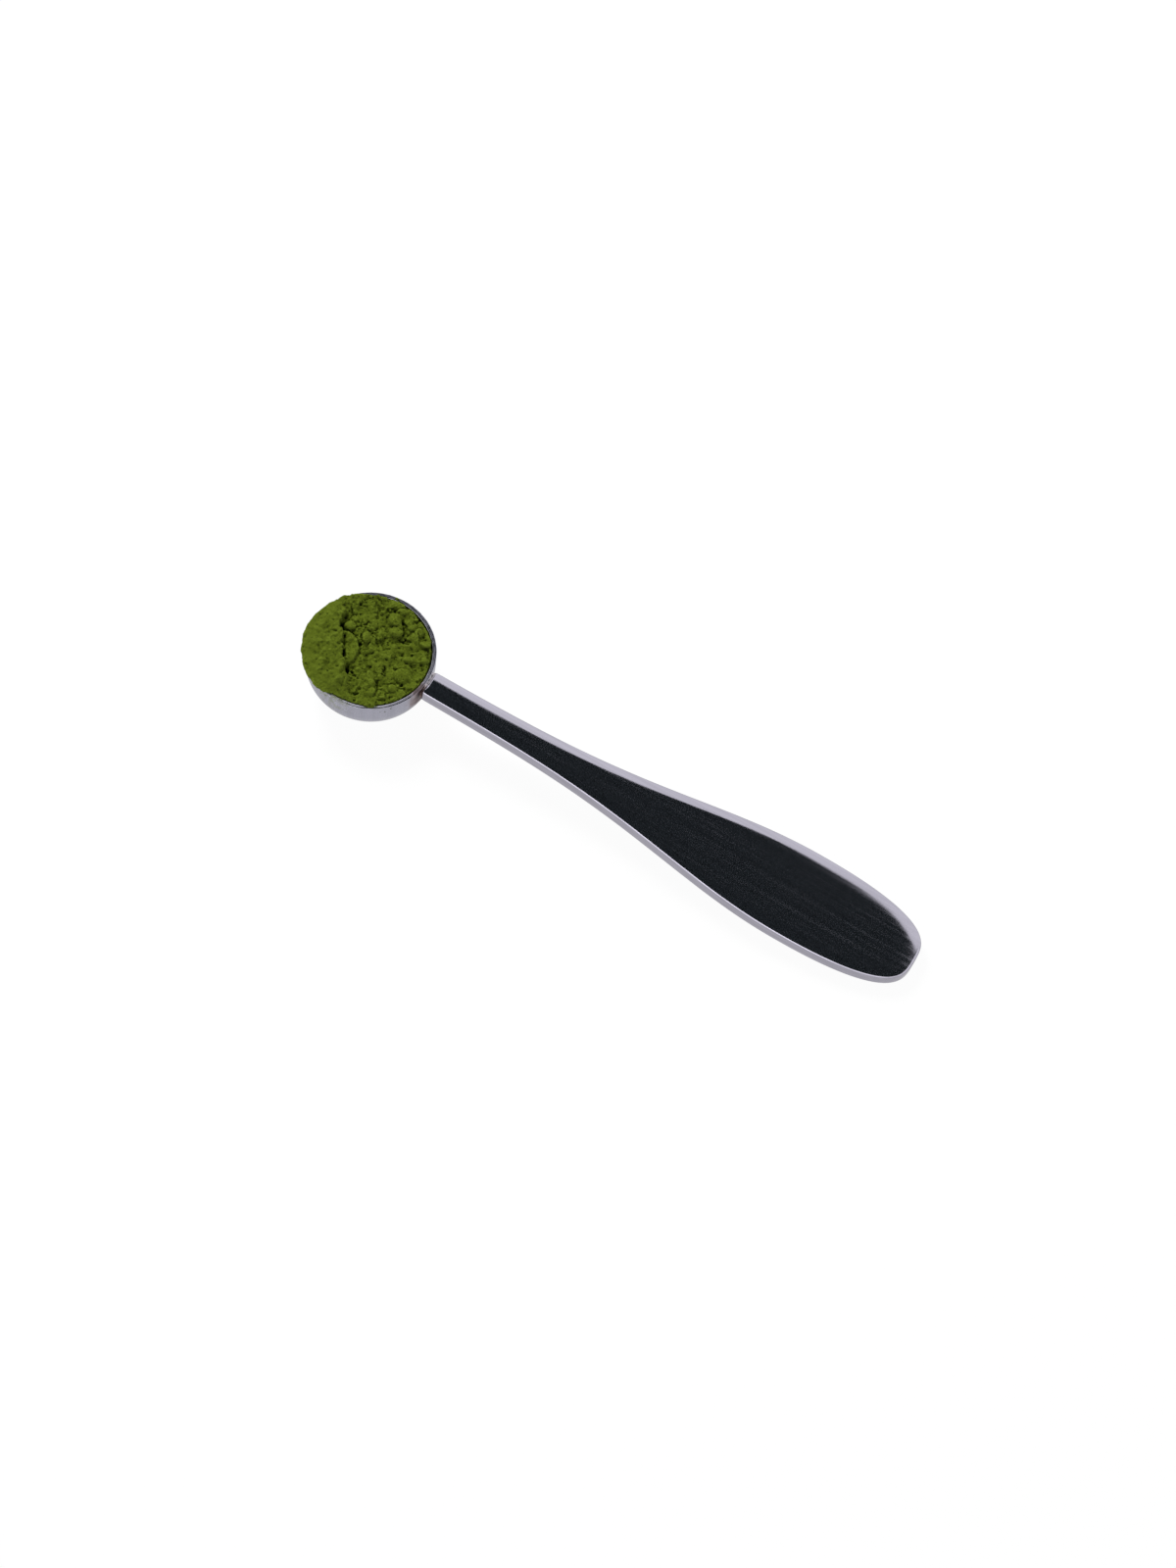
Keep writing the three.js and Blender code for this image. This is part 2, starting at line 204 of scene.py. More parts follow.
class NodeSheet:
    """Short ways to add and join nodes in one node tree."""

    def __init__(self, tree: Tree) -> None:
        """Keeps the tree that the nodes go into."""
        self.tree = tree

    def feed(self, socket: Socket, value: Any) -> None:
        """Joins a socket to another one, or gives it a plain value."""
        if isinstance(value, Socket):
            self.tree.links.new(value, socket)
        else:
            socket.default_value = value

    def fill(self, node: bpy.types.Node, values: dict) -> None:
        """Fills inputs of a node by their names or numbers."""
        for key, value in values.items():
            self.feed(node.inputs[key], value)

    def add(self, kind: str, inputs: dict | None = None, **options: Any) -> bpy.types.Node:
        """Adds a node, sets its options and fills its inputs.

        Args:
            kind: Blender's name for the type of node.
            inputs: Values or sockets, by the input's name or number.
            options: Options of the node, by attribute.

        Returns:
            The new node.
        """
        node = self.tree.nodes.new(kind)
        for name, value in options.items():
            setattr(node, name, value)
        self.fill(node, inputs or {})
        return node

    def group(self, tree: Tree, **inputs: Any) -> Any:
        """Results of a shared group, with its inputs filled."""
        return self.add("ShaderNodeGroup", inputs, node_tree=tree).outputs

    def math(self, operation: str, *values: Any, clamp: bool = False) -> Socket:
        """Result of a Math node."""
        node = self.add("ShaderNodeMath", dict(enumerate(values)), operation=operation, use_clamp=clamp)
        return node.outputs[0]

    def times(self, first: Any, *others: Any) -> Socket:
        """Product of two or more values."""
        for other in others:
            first = self.math("MULTIPLY", first, other)
        return first

    def vector_node(self, operation: str, values: dict) -> bpy.types.Node:
        """Vector Math node with its inputs filled."""
        return self.add("ShaderNodeVectorMath", values, operation=operation)

    def vector(self, operation: str, *values: Any) -> Socket:
        """Vector result of a Vector Math node."""
        return self.vector_node(operation, dict(enumerate(values))).outputs[0]

    def scaled(self, vector: Any, amount: float) -> Socket:
        """Vector made longer or shorter by an amount."""
        return self.vector_node("SCALE", {0: vector, "Scale": amount}).outputs[0]

    def measure(self, operation: str, *values: Any) -> Socket:
        """Number that a Vector Math node gives, such as a length or a distance."""
        return self.vector_node(operation, dict(enumerate(values))).outputs["Value"]

    def part(self, vector: Socket, axis: int) -> Socket:
        """One of the three parts of a vector."""
        return self.add("ShaderNodeSeparateXYZ", {0: vector}).outputs[axis]

    def spread(
        self, value: Any, low: float, high: float, to_low: float = 0.0, to_high: float = 1.0
    ) -> Socket:
        """Value moved smoothly from one range to another and held at its ends.

        Args:
            value: Socket to move.
            low: Start of the old range.
            high: End of the old range.
            to_low: Start of the new range.
            to_high: End of the new range.

        Returns:
            The moved value.
        """
        inputs = {0: value, 1: low, 2: high, 3: to_low, 4: to_high}
        return self.add("ShaderNodeMapRange", inputs, interpolation_type="SMOOTHSTEP").outputs[0]

    def noise(self, vector: Any, scale: Any, detail: float = 2.0, roughness: float = 0.5) -> Socket:
        """Value of a noise texture, about 0.5 in the middle."""
        inputs = {"Vector": vector, "Scale": scale, "Detail": detail, "Roughness": roughness}
        return self.add("ShaderNodeTexNoise", inputs).outputs[0]

    def mix(self, amount: Any, first: Any, second: Any, mode: str = "MIX") -> Socket:
        """Two colours blended by an amount."""
        node = self.add("ShaderNodeMix", data_type="RGBA", blend_type=mode)
        self.fill(node, {0: amount, 6: first, 7: second})
        return node.outputs[2]

    def ramp(self, value: Any, stops: Iterable[tuple[float, Colour]]) -> Socket:
        """Colour that runs through stops as a value goes from 0 to 1.

        Args:
            value: Socket that picks the colour.
            stops: Place and colour of each stop, in order.

        Returns:
            The colour.
        """
        node = self.add("ShaderNodeValToRGB", {0: value})
        elements = node.color_ramp.elements
        stops = list(stops)
        while len(elements) < len(stops):
            elements.new(1.0)
        for element, (place, colour) in zip(elements, stops):
            element.position = place
            element.color = (*colour, 1.0)
        return node.outputs[0]


def new_tree(name: str, kind: str, inputs: dict, outputs: dict) -> tuple[NodeSheet, Any, Any]:
    """Starts a node group with named sockets.

    Args:
        name: Name of the group.
        kind: Type of node tree.
        inputs: Socket type and starting value (or None) by input name.
        outputs: Socket type by output name.

    Returns:
        The sheet to build on, the sockets that come in and the node that takes the results.
    """
    tree = bpy.data.node_groups.new(name, kind)
    for label, (socket_type, start) in inputs.items():
        made = tree.interface.new_socket(label, in_out="INPUT", socket_type=socket_type)
        if start is not None:
            made.default_value = start
    for label, socket_type in outputs.items():
        tree.interface.new_socket(label, in_out="OUTPUT", socket_type=socket_type)
    sheet = NodeSheet(tree)
    return sheet, sheet.add("NodeGroupInput").outputs, sheet.add("NodeGroupOutput")


def geometry_tree(name: str, inputs: dict) -> tuple[NodeSheet, Any, Any]:
    """Starts a Geometry Nodes tree that takes and gives geometry and a material."""
    sockets = {"Geometry": (SHAPE, None), **inputs, "Material": ("NodeSocketMaterial", None)}
    return new_tree(name, "GeometryNodeTree", sockets, {"Geometry": SHAPE})


def end_tree(sheet: NodeSheet, came: Any, out: bpy.types.Node, geometry: Socket) -> Tree:
    """Ends a Geometry Nodes tree in real, smooth, dressed geometry.

    Args:
        sheet: Sheet of the tree.
        came: Sockets that come into the tree.
        out: Output node of the tree.
        geometry: Geometry to end with.

    Returns:
        The finished tree.
    """
    real = sheet.add("GeometryNodeRealizeInstances", {0: geometry}).outputs[0]
    even = sheet.add("GeometryNodeSetShadeSmooth", {0: real}).outputs[0]
    dressed = sheet.add("GeometryNodeSetMaterial", {"Geometry": even, "Material": came["Material"]})
    sheet.feed(out.inputs[0], dressed.outputs[0])
    return sheet.tree


def new_material(name: str) -> tuple[Material, NodeSheet, bpy.types.Node]:
    """Starts a material.

    Args:
        name: Name of the material.

    Returns:
        The material, its node sheet and its shader.
    """
    material = bpy.data.materials.new(name)
    material.use_nodes = True
    return material, NodeSheet(material.node_tree), material.node_tree.nodes["Principled BSDF"]


def keep_result(piece: Piece) -> None:
    """Turns an object with modifiers into its plain finished mesh."""
    graph = bpy.context.evaluated_depsgraph_get()
    made = bpy.data.meshes.new_from_object(
        piece.evaluated_get(graph), preserve_all_data_layers=True, depsgraph=graph
    )
    piece.modifiers.clear()
    old = piece.data
    piece.data = made
    made.name = piece.name
    bpy.data.meshes.remove(old)


def run_tree(piece: Piece, tree: Tree, **values: Any) -> None:
    """Runs a Geometry Nodes tree on an object and keeps the result as a plain mesh.

    Args:
        piece: Object whose mesh goes into the tree.
        tree: Tree to run.
        values: Inputs of the tree; a space in a name is written as an underscore.
    """
    modifier = piece.modifiers.new("shape", "NODES")
    modifier.node_group = tree
    for item in tree.interface.items_tree:
        name = item.name.replace(" ", "_")
        if item.in_out == "INPUT" and name in values:
            modifier[item.identifier] = values[name]
    keep_result(piece)


@dataclass(frozen=True)
class NoiseScales:
    """Number of noise cells to the metre in the finishes."""

    tint_patches: float = 900.0
    dust_specks: float = 5200.0
    dust_film: float = 1100.0
    dust_tone: float = 2600.0
    powder_grains: float = 5200.0
    powder_patches: float = 420.0
    powder_relief: float = 7000.0
    worn_rim: float = 1500.0


SCALES = NoiseScales()


class Effects:
    """Shader node groups that several finishes share."""

    def __init__(self) -> None:
        """Builds each group once."""
        self.lines = self.polish_lines()
        self.tint = self.heat_tint()
        self.dust = self.powder_dust()
        self.powder = self.powder_grain()

    def polish_lines(self) -> Tree:
        """Fine marks of polishing, drawn out along one direction.

        Returns:
            Group with a height, a share of rough ground and a tone.
        """
        sheet, came, out = new_tree(
            "Polish lines",
            SHADER,
            {"Vector": (VECTOR, None), "Stretch": (VECTOR, (1.0, 1.0, 1.0))},
            {"Height": FLOAT, "Rough": FLOAT, "Tone": FLOAT},
        )
        drawn = sheet.vector("MULTIPLY", came["Vector"], came["Stretch"])
        fine = sheet.noise(drawn, 1.0, 3.0, 0.62)
        broad = sheet.noise(sheet.scaled(drawn, 0.3), 1.0, 2.0)
        hairs = sheet.noise(sheet.vector("ADD", drawn, (17.0, 31.0, 5.0)), 1.6, 1.0)
        height = sheet.math("ADD", sheet.times(fine, 0.65), sheet.times(broad, 0.35))
        rough = sheet.spread(hairs, 0.60, 0.80)
        sheet.fill(out, {"Height": height, "Rough": rough, "Tone": sheet.spread(broad, 0.3, 0.7)})
        return sheet.tree

    def heat_tint(self) -> Tree:
        """Oxide colours that fade away from a weld.

        Returns:
            Group with an amount and a colour that the steel is multiplied by.
        """
        sheet, came, out = new_tree(
            "Heat tint",
            SHADER,
            {
                "Vector": (VECTOR, None),
                "Centre": (VECTOR, (0.0, 0.0, 0.0)),
                "Stretch": (VECTOR, (1.0, 1.0, 1.0)),
                "Reach": (FLOAT, 0.002),
            },
            {"Amount": FLOAT, "Colour": COLOUR},
        )
        away = sheet.vector("SUBTRACT", came["Vector"], came["Centre"])
        away = sheet.vector("MULTIPLY", away, came["Stretch"])
        far = sheet.math("DIVIDE", sheet.measure("LENGTH", away), came["Reach"])
        patch = sheet.noise(came["Vector"], SCALES.tint_patches, 3.0)
        patch = sheet.math("MULTIPLY_ADD", patch, 0.9, -0.45)
        place = sheet.math("ADD", far, patch, clamp=True)
        colour = sheet.ramp(
            place,
            (
                (0.0, (0.15, 0.11, 0.10)),
                (0.3, (0.36, 0.26, 0.23)),
                (0.55, (0.68, 0.55, 0.50)),
                (0.78, (0.92, 0.86, 0.84)),
                (1.0, (1.0, 1.0, 1.0)),
            ),
        )
        sheet.fill(out, {"Amount": sheet.spread(place, 0.35, 1.0, 1.0, 0.0), "Colour": colour})
        return sheet.tree

    def powder_dust(self) -> Tree:
        """Thin green dust that lies on steel near the powder.

        Returns:
            Group with an amount and a colour.
        """
        sheet, came, out = new_tree(
            "Powder dust",
            SHADER,
            {
                "Vector": (VECTOR, None),
                "Centre": (VECTOR, (0.0, 0.0, 0.0)),
                "Reach": (FLOAT, 0.003),
                "Thickness": (FLOAT, 0.5),
            },
            {"Amount": FLOAT, "Colour": COLOUR},
        )
        away = sheet.measure("DISTANCE", came["Vector"], came["Centre"])
        near = sheet.spread(sheet.math("DIVIDE", away, came["Reach"]), 0.15, 1.0, 1.0, 0.0)
        specks = sheet.noise(came["Vector"], SCALES.dust_specks, 2.0, 0.6)
        film = sheet.noise(came["Vector"], SCALES.dust_film, 3.0, 0.6)
        cover = sheet.times(sheet.spread(film, 0.38, 0.66), sheet.spread(specks, 0.25, 0.6), near)
        amount = sheet.math("MULTIPLY", cover, came["Thickness"], clamp=True)
        tone = sheet.noise(came["Vector"], SCALES.dust_tone, 2.0)
        colour = sheet.ramp(tone, ((0.3, (0.16, 0.18, 0.07)), (0.7, (0.26, 0.29, 0.13))))
        sheet.fill(out, {"Amount": amount, "Colour": colour})
        return sheet.tree

    def powder_grain(self) -> Tree:
        """Colour and fine relief of the milled powder, with painted shade in its hollows and painted light
        on its crests.

        Returns:
            Group with a colour and a height.
        """
        sheet, came, out = new_tree(
            "Powder grain",
            SHADER,
            {
                "Vector": (VECTOR, None),
                "Relief": (FLOAT, 0.5),
                "Dark": (COLOUR, (0.05, 0.07, 0.01, 1.0)),
                "Plain": (COLOUR, (0.13, 0.18, 0.02, 1.0)),
                "Light": (COLOUR, (0.19, 0.25, 0.04, 1.0)),
            },
            {"Colour": COLOUR, "Height": FLOAT},
        )
        grains = sheet.noise(came["Vector"], SCALES.powder_grains, 3.0, 0.65)
        patches = sheet.noise(came["Vector"], SCALES.powder_patches, 3.0, 0.55)
        # The incoming share of hollow and crest is painted shade in the hollows and painted light on the
        # crests, added to the grains' own tone.
        shade = sheet.math("MULTIPLY_ADD", grains, 0.45, came["Relief"])
        shade = sheet.math("MULTIPLY_ADD", patches, 0.5, sheet.math("SUBTRACT", shade, 0.475))
        low = sheet.spread(shade, 0.12, 0.5)
        high = sheet.spread(shade, 0.5, 0.88)
        colour = sheet.mix(high, sheet.mix(low, came["Dark"], came["Plain"]), came["Light"])
        height = sheet.noise(came["Vector"], SCALES.powder_relief, 4.0, 0.7)
        sheet.fill(out, {"Colour": colour, "Height": height})
        return sheet.tree


@dataclass(frozen=True)
class SteelFinish:
    """Polished stainless steel with marks of making, heat tint and a little dust."""

    name: str
    grain: Grain
    colour: Colour
    roughness: Pair
    stretch: Point
    line_depth: float
    tint_centre: Point
    tint_stretch: Point
    tint_reach: float
    lean: float = 0.0
    dust_centre: Point = (0.0, 0.0, 0.0)
    dust_reach: float = 1.0 * MM
    dust_thickness: float = 0.0
    rim_height: float = 0.0
    rim_middle: float = 0.0
    rim_roughness: Pair = (0.3, 0.38)
    rim_depths: Pair = (0.2 * MM, 0.1 * MM)
    rim_half_widths: Pair = (0.12 * MM, 0.2 * MM)
    worn_share: float = 0.88
    hair_share: float = 0.6
    tone_share: float = 0.4
    tint_roughness: float = 0.2
    dust_roughness: float = 0.6

    def coordinates(self, sheet: NodeSheet) -> tuple[Socket, Socket]:
        """Places on the surface, plain and as the marks of making run.

        Args:
            sheet: Sheet of the material.

        Returns:
            Object coordinates and the coordinates of the marks.
        """
        plain = sheet.add("ShaderNodeTexCoord").outputs["Object"]
        if self.grain is Grain.LENGTHWISE:
            turned = {"Vector": plain, "Rotation": (0.0, -self.lean, 0.0)}
            return plain, sheet.add("ShaderNodeMapping", turned).outputs[0]
        if self.grain is Grain.CAST:
            return plain, plain
        round_axis = sheet.vector("NORMALIZE", sheet.vector("MULTIPLY", plain, (1.0, 1.0, 0.0)))
        around = sheet.scaled(round_axis, CUP_RADIUS * MM)
        up = sheet.vector("MULTIPLY", plain, (0.0, 0.0, 1.0))
        return plain, sheet.vector("ADD", around, up)

    def on_rim(self, sheet: NodeSheet, plain: Socket) -> Socket:
        """Share of the flat of the rim: 1 on it, 0 off it."""
        height = sheet.part(plain, 2)
        from_axis = sheet.measure("LENGTH", sheet.vector("MULTIPLY", plain, (1.0, 1.0, 0.0)))
        off_middle = sheet.math("ABSOLUTE", sheet.math("SUBTRACT", from_axis, self.rim_middle))
        high = sheet.spread(height, *(self.rim_height - depth for depth in self.rim_depths))
        return sheet.times(high, sheet.spread(off_middle, *self.rim_half_widths, 1.0, 0.0))

    def make(self, effects: Effects) -> Material:
        """Builds the material.

        Args:
            effects: Shared shader groups.

        Returns:
            The material.
        """
        material, sheet, shader = new_material(self.name)
        plain, along = self.coordinates(sheet)
        lines = sheet.group(effects.lines, Vector=along, Stretch=self.stretch)
        tint = sheet.group(
            effects.tint,
            Vector=plain,
            Centre=self.tint_centre,
            Stretch=self.tint_stretch,
            Reach=self.tint_reach,
        )
        worn = tuple(self.worn_share * channel for channel in self.colour)
        steel = sheet.mix(lines["Tone"], (*worn, 1.0), (*self.colour, 1.0))
        steel = sheet.mix(1.0, steel, tint["Colour"], "MULTIPLY")
        tone = sheet.times(lines["Tone"], self.tone_share)
        marks = sheet.math("MULTIPLY_ADD", lines["Rough"], self.hair_share, tone)
        rough = sheet.spread(marks, 0.0, 1.0, *self.roughness)
        rough = sheet.math("MULTIPLY_ADD", tint["Amount"], self.tint_roughness, rough)
        bare = 1.0
        if self.rim_height > 0.0:
            worn_rim = sheet.noise(plain, SCALES.worn_rim, 2.0)
            worn_rim = sheet.spread(worn_rim, 0.4, 0.6, *self.rim_roughness)
            change = sheet.math("SUBTRACT", worn_rim, rough)
            rough = sheet.math("MULTIPLY_ADD", self.on_rim(sheet, plain), change, rough)
        if self.dust_thickness > 0.0:
            dust = sheet.group(
                effects.dust,
                Vector=plain,
                Centre=self.dust_centre,
                Reach=self.dust_reach,
                Thickness=self.dust_thickness,
            )
            steel = sheet.mix(dust["Amount"], steel, dust["Colour"])
            rough = sheet.math("MULTIPLY_ADD", dust["Amount"], self.dust_roughness, rough, clamp=True)
            bare = sheet.math("SUBTRACT", 1.0, dust["Amount"])
        bump = sheet.add("ShaderNodeBump", {"Height": lines["Height"], "Distance": self.line_depth})
        sheet.fill(shader, {"Metallic": bare, "Base Color": steel, "Roughness": rough})
        sheet.fill(shader, {"Normal": bump.outputs[0]})
        return material


@dataclass(frozen=True)
class PowderFinish:
    """Matte stone-milled powder, with painted shade in its hollows and painted light on its crumbs."""

    name: str
    dark: Colour = (0.030, 0.041, 0.003)
    plain: Colour = (0.093, 0.126, 0.009)
    light: Colour = (0.140, 0.188, 0.018)
    relief_name: str = ""
    roughness: float = 0.95
    shine: float = 0.12
    grain_depth: float = 0.1 * MM

    def make(self, effects: Effects) -> Material:
        """Builds the material.

        Args:
            effects: Shared shader groups.

        Returns:
            The material.
        """
        material, sheet, shader = new_material(self.name)
        sheet.fill(shader, {"Roughness": self.roughness, "Specular IOR Level": self.shine})
        inputs = {
            "Vector": sheet.add("ShaderNodeTexCoord").outputs["Object"],
            "Dark": (*self.dark, 1.0),
            "Plain": (*self.plain, 1.0),
            "Light": (*self.light, 1.0),
        }
        # The noted hollows and crests of the shape become painted shade and painted light in the colour.
        if self.relief_name:
            noted = sheet.add("ShaderNodeAttribute", attribute_name=self.relief_name)
            inputs["Relief"] = noted.outputs["Fac"]
        grain = sheet.group(effects.powder, **inputs)
        bump = sheet.add("ShaderNodeBump", {"Height": grain["Height"], "Distance": self.grain_depth})
        sheet.fill(shader, {"Base Color": grain["Colour"], "Normal": bump.outputs[0]})
        return material


@dataclass
class Cup:
    """Drawn steel cup: flat base, round bottom, straight wall and a plain rim."""

    radius: float = CUP_RADIUS * MM
    height: float = CUP_HEIGHT * MM
    wall: float = CUP_WALL * MM
    bottom_radius: float = CUP_BOTTOM * MM
    rim_edge: float = 0.1 * MM
    rim_lip: float = 0.15 * MM
    rim_slope: float = 0.08 * MM
    rim_unevenness: float = 0.035 * MM
    wear_depths: Pair = (0.4 * MM, 0.1 * MM)
    wear_scales: Triple = (1.1, 2.6, 0.9)
    dip_place: Point = (5.0, 2.0, 8.0)
    merge_distance: float = 1e-7
    segments: int = 360
    arc_steps: int = 40
    edge_steps: int = 6

    def arc(self, centre: Pair, radius: float, turn: Pair, steps: int) -> list[Point]:
        """Points of an arc in the section, both ends included.

        Args:
            centre: Distance from the axis and height of the arc's centre.
            radius: Radius of the arc.
            turn: First and last angle.
            steps: Number of straight steps.

        Returns:
            Points as distance from the axis, zero and height.
        """
        angles = np.linspace(*turn, steps + 1)
        x, z = centre
        return [(x + radius * math.cos(a), 0.0, z + radius * math.sin(a)) for a in angles]

    def profile(self) -> list[Point]:
        """Section of the cup from the base centre over the rim to the inside centre."""
        base = self.radius - self.bottom_radius
        bend = (base, self.bottom_radius)
        outer_edge = (self.radius - self.rim_edge, self.height - self.rim_edge)
        lip_height = self.height - self.rim_slope - self.rim_lip
        inner_edge = (self.radius - self.wall + self.rim_lip, lip_height)
        return [
            (0.0, 0.0, 0.0),
            *self.arc(bend, self.bottom_radius, (-QUARTER, 0.0), self.arc_steps),
            *self.arc(outer_edge, self.rim_edge, (0.0, QUARTER), self.edge_steps),
            *self.arc(inner_edge, self.rim_lip, (QUARTER, math.pi), self.edge_steps),
            *self.arc(bend, self.bottom_radius - self.wall, (0.0, -QUARTER), self.arc_steps),
            (0.0, 0.0, self.wall),
        ]

    def revolve_tree(self) -> Tree:
        """Tree that turns a section about the Z axis."""
        sheet, came, out = geometry_tree("Turn about axis", {"Segments": (WHOLE, 64)})
        section = sheet.add("GeometryNodeAttributeDomainSize", {0: came["Geometry"]})
        columns = sheet.math("ADD", came["Segments"], 1.0)
        counts = {"Vertices X": section.outputs["Point Count"], "Vertices Y": columns}
        grid = sheet.add("GeometryNodeMeshGrid", counts).outputs[0]
        index = sheet.add("GeometryNodeInputIndex").outputs[0]
        row = sheet.math("FLOOR", sheet.math("DIVIDE", sheet.math("ADD", index, 0.5), columns))
        column = sheet.math("SUBTRACT", index, sheet.times(row, columns))
        turn = sheet.math("DIVIDE", sheet.times(column, math.tau), came["Segments"])
        place = sheet.add("GeometryNodeInputPosition").outputs[0]
        sample = sheet.add("GeometryNodeSampleIndex", data_type="FLOAT_VECTOR", domain="POINT")
        sheet.fill(sample, {"Geometry": came["Geometry"], "Value": place, "Index": row})
        turned = {"Vector": sample.outputs[0], "Angle": turn}
        turned = sheet.add("ShaderNodeVectorRotate", turned, rotation_type="Z_AXIS").outputs[0]
        moved = sheet.add("GeometryNodeSetPosition", {"Geometry": grid, "Position": turned}).outputs[0]
        merged = {"Geometry": moved, "Distance": self.merge_distance}
        closed = sheet.add("GeometryNodeMergeByDistance", merged).outputs[0]
        return end_tree(sheet, came, out, closed)

    def build(self, steel: Material) -> Piece:
        """Turns the section into the cup.

        Args:
            steel: Material of the cup.

        Returns:
            The cup.
        """
        section = self.profile()
        chain = [(i, i + 1) for i in range(len(section) - 1)]
        cup = mesh_object("cup_shell", section, (), chain)
        run_tree(cup, self.revolve_tree(), Segments=self.segments, Material=steel)
        close_and_turn_out(cup)
        self.wear_rim(cup)
        return cup

    def wear_rim(self, cup: Piece) -> None:
        """Makes the trimmed rim a little uneven, as a cut and polished edge is."""
        start, full = (self.height - depth for depth in self.wear_depths)
        broad, fine, dips = self.wear_scales
        for vertex in cup.data.vertices:
            on_rim = ease(vertex.co.z, start, full)
            if on_rim > 0.0:
                spot = vertex.co / MM
                wave = noise.noise(broad * spot) + 0.5 * noise.noise(fine * spot)
                outward = Vector((vertex.co.x, vertex.co.y, 0.0)).normalized()
                low = 0.5 * noise.noise(dips * spot + Vector(self.dip_place)) - 0.5
                step = wave * outward + Vector((0.0, 0.0, low))
                vertex.co += on_rim * self.rim_unevenness * step

    def outside(self, height: float) -> float:
        """Radius of the outside of the cup at a height."""
        if height >= self.bottom_radius:
            return self.radius
        drop = self.bottom_radius - height
        return self.radius - self.bottom_radius + math.sqrt(max(self.bottom_radius**2 - drop**2, 0.0))


@dataclass
class Handle:
    """Solid paddle handle: slim neck, bell flare, blunt tip, sloped shoulders, rounded edges."""

    start: Point = (11.45 * MM, 0.0, 9.45 * MM)
    length: float = 95.5 * MM
    thickness: float = 3.0 * MM
    neck_width: float = 4.7 * MM
    corner: float = 0.3 * MM
    end_rounding: float = 0.55
    end_bevel: float = 0.4 * MM
    paddle_width: float = 16.9 * MM
    paddle_from_neck: float = 72.7 * MM
    flare_spread: float = 22.5 * MM
    tip_along: float = 2.39
    tip_across: float = 3.12
    shoulder_width: float = 1.6 * MM
    shoulder_tip_width: float = 2.9 * MM
    shoulder_drop: float = 0.2 * MM
    shoulder_curve: float = 1.7
    edge_radius: float = 0.45 * MM
    spacing: float = 0.28 * MM
    widening: Pair = (0.62, 0.93)
    first_step: float = 1.0 * MM
    normal_step: float = 0.05 * MM
    flare_samples: int = 6000
    tip_samples: int = 12000
    tip_crowding: float = 1.6
    end_crowding: Pair = (1.2, 0.8)
    corner_share: float = 0.8
    corner_points: int = 6
    shoulder_steps: int = 14
    edge_steps: int = 9

    @property
    def droop(self) -> float:
        """Angle by which the bar slopes so that its tip comes down to the cup's base."""
        contact = self.length - self.edge_radius
        reach = math.hypot(contact, self.thickness)
        return math.asin(self.start[2] / reach) - math.atan2(self.thickness, contact)

    @property
    def place(self) -> Matrix:
        """Move from the bar's own frame into the spoon's."""
        return Matrix.Translation(self.start) @ Matrix.Rotation(self.droop, 4, "Y")

    def outline(self) -> tuple[np.ndarray, np.ndarray]:
        """One side of the plan outline from the neck to the tip, evenly spaced.

        Returns:
            Points and outward normals, as arrays of two columns.
        """
        x = np.linspace(0.0, self.paddle_from_neck, self.flare_samples)
        half_neck = self.neck_width / 2
        half_paddle = self.paddle_width / 2
        bell = np.exp(-0.5 * ((self.paddle_from_neck - x) / self.flare_spread) ** 2)
        flare = np.column_stack((x, half_neck + (half_paddle - half_neck) * bell))
        turn = QUARTER * np.linspace(0.0, 1.0, self.tip_samples)[1:] ** self.tip_crowding
        near_end, crowding = self.end_crowding
        turn = np.concatenate((turn, QUARTER - (QUARTER - turn[turn > near_end]) ** 2 / crowding))
        turn = np.unique(np.clip(turn, 0.0, QUARTER))
        along = np.sin(turn) ** (2.0 / self.tip_along)
        across = np.maximum(np.cos(turn), 0.0) ** (2.0 / self.tip_across)
        tip_length = self.length - self.paddle_from_neck
        tip = np.column_stack((self.paddle_from_neck + tip_length * along, half_paddle * across))
        line = np.vstack((flare, tip))
        run = np.concatenate(([0.0], np.cumsum(np.linalg.norm(np.diff(line, axis=0), axis=1))))
        keep = np.concatenate(([True], np.diff(run) > 1e-10))
        line, run = line[keep], run[keep]

        def spots(distance: np.ndarray) -> np.ndarray:
            """Places on the outline at distances along it."""
            return np.column_stack([np.interp(distance, run, line[:, k]) for k in range(2)])

        even = np.linspace(self.first_step, run[-1], int(run[-1] / self.spacing))
        points = spots(even)
        tangent = spots(np.minimum(even + self.normal_step, run[-1])) - spots(even - self.normal_step)
        tangent /= np.linalg.norm(tangent, axis=1)[:, None]
        normals = np.column_stack((-tangent[:, 1], tangent[:, 0]))
        points[-1] = (self.length, 0.0)
        normals[-1] = (1.0, 0.0)
        return points, normals

    def levels(self) -> list[Triple]:
        """Rows of shoulder share, edge inset and height, from the top face to the underside."""
        radius = self.edge_radius
        rows = []
        for i in range(self.shoulder_steps):
            u = i / self.shoulder_steps
            rows.append((1.0 - u, radius, -self.shoulder_drop * u**self.shoulder_curve))
        for turn in np.linspace(QUARTER, 0.0, self.edge_steps + 1):
            inset = radius * (1.0 - math.cos(turn))
            rows.append((0.0, inset, radius * (math.sin(turn) - 1.0) - self.shoulder_drop))
        for turn in np.linspace(0.0, -QUARTER, self.edge_steps + 1):
            inset = radius * (1.0 - math.cos(turn))
            rows.append((0.0, inset, radius * (math.sin(turn) + 1.0) - self.thickness))
        return rows

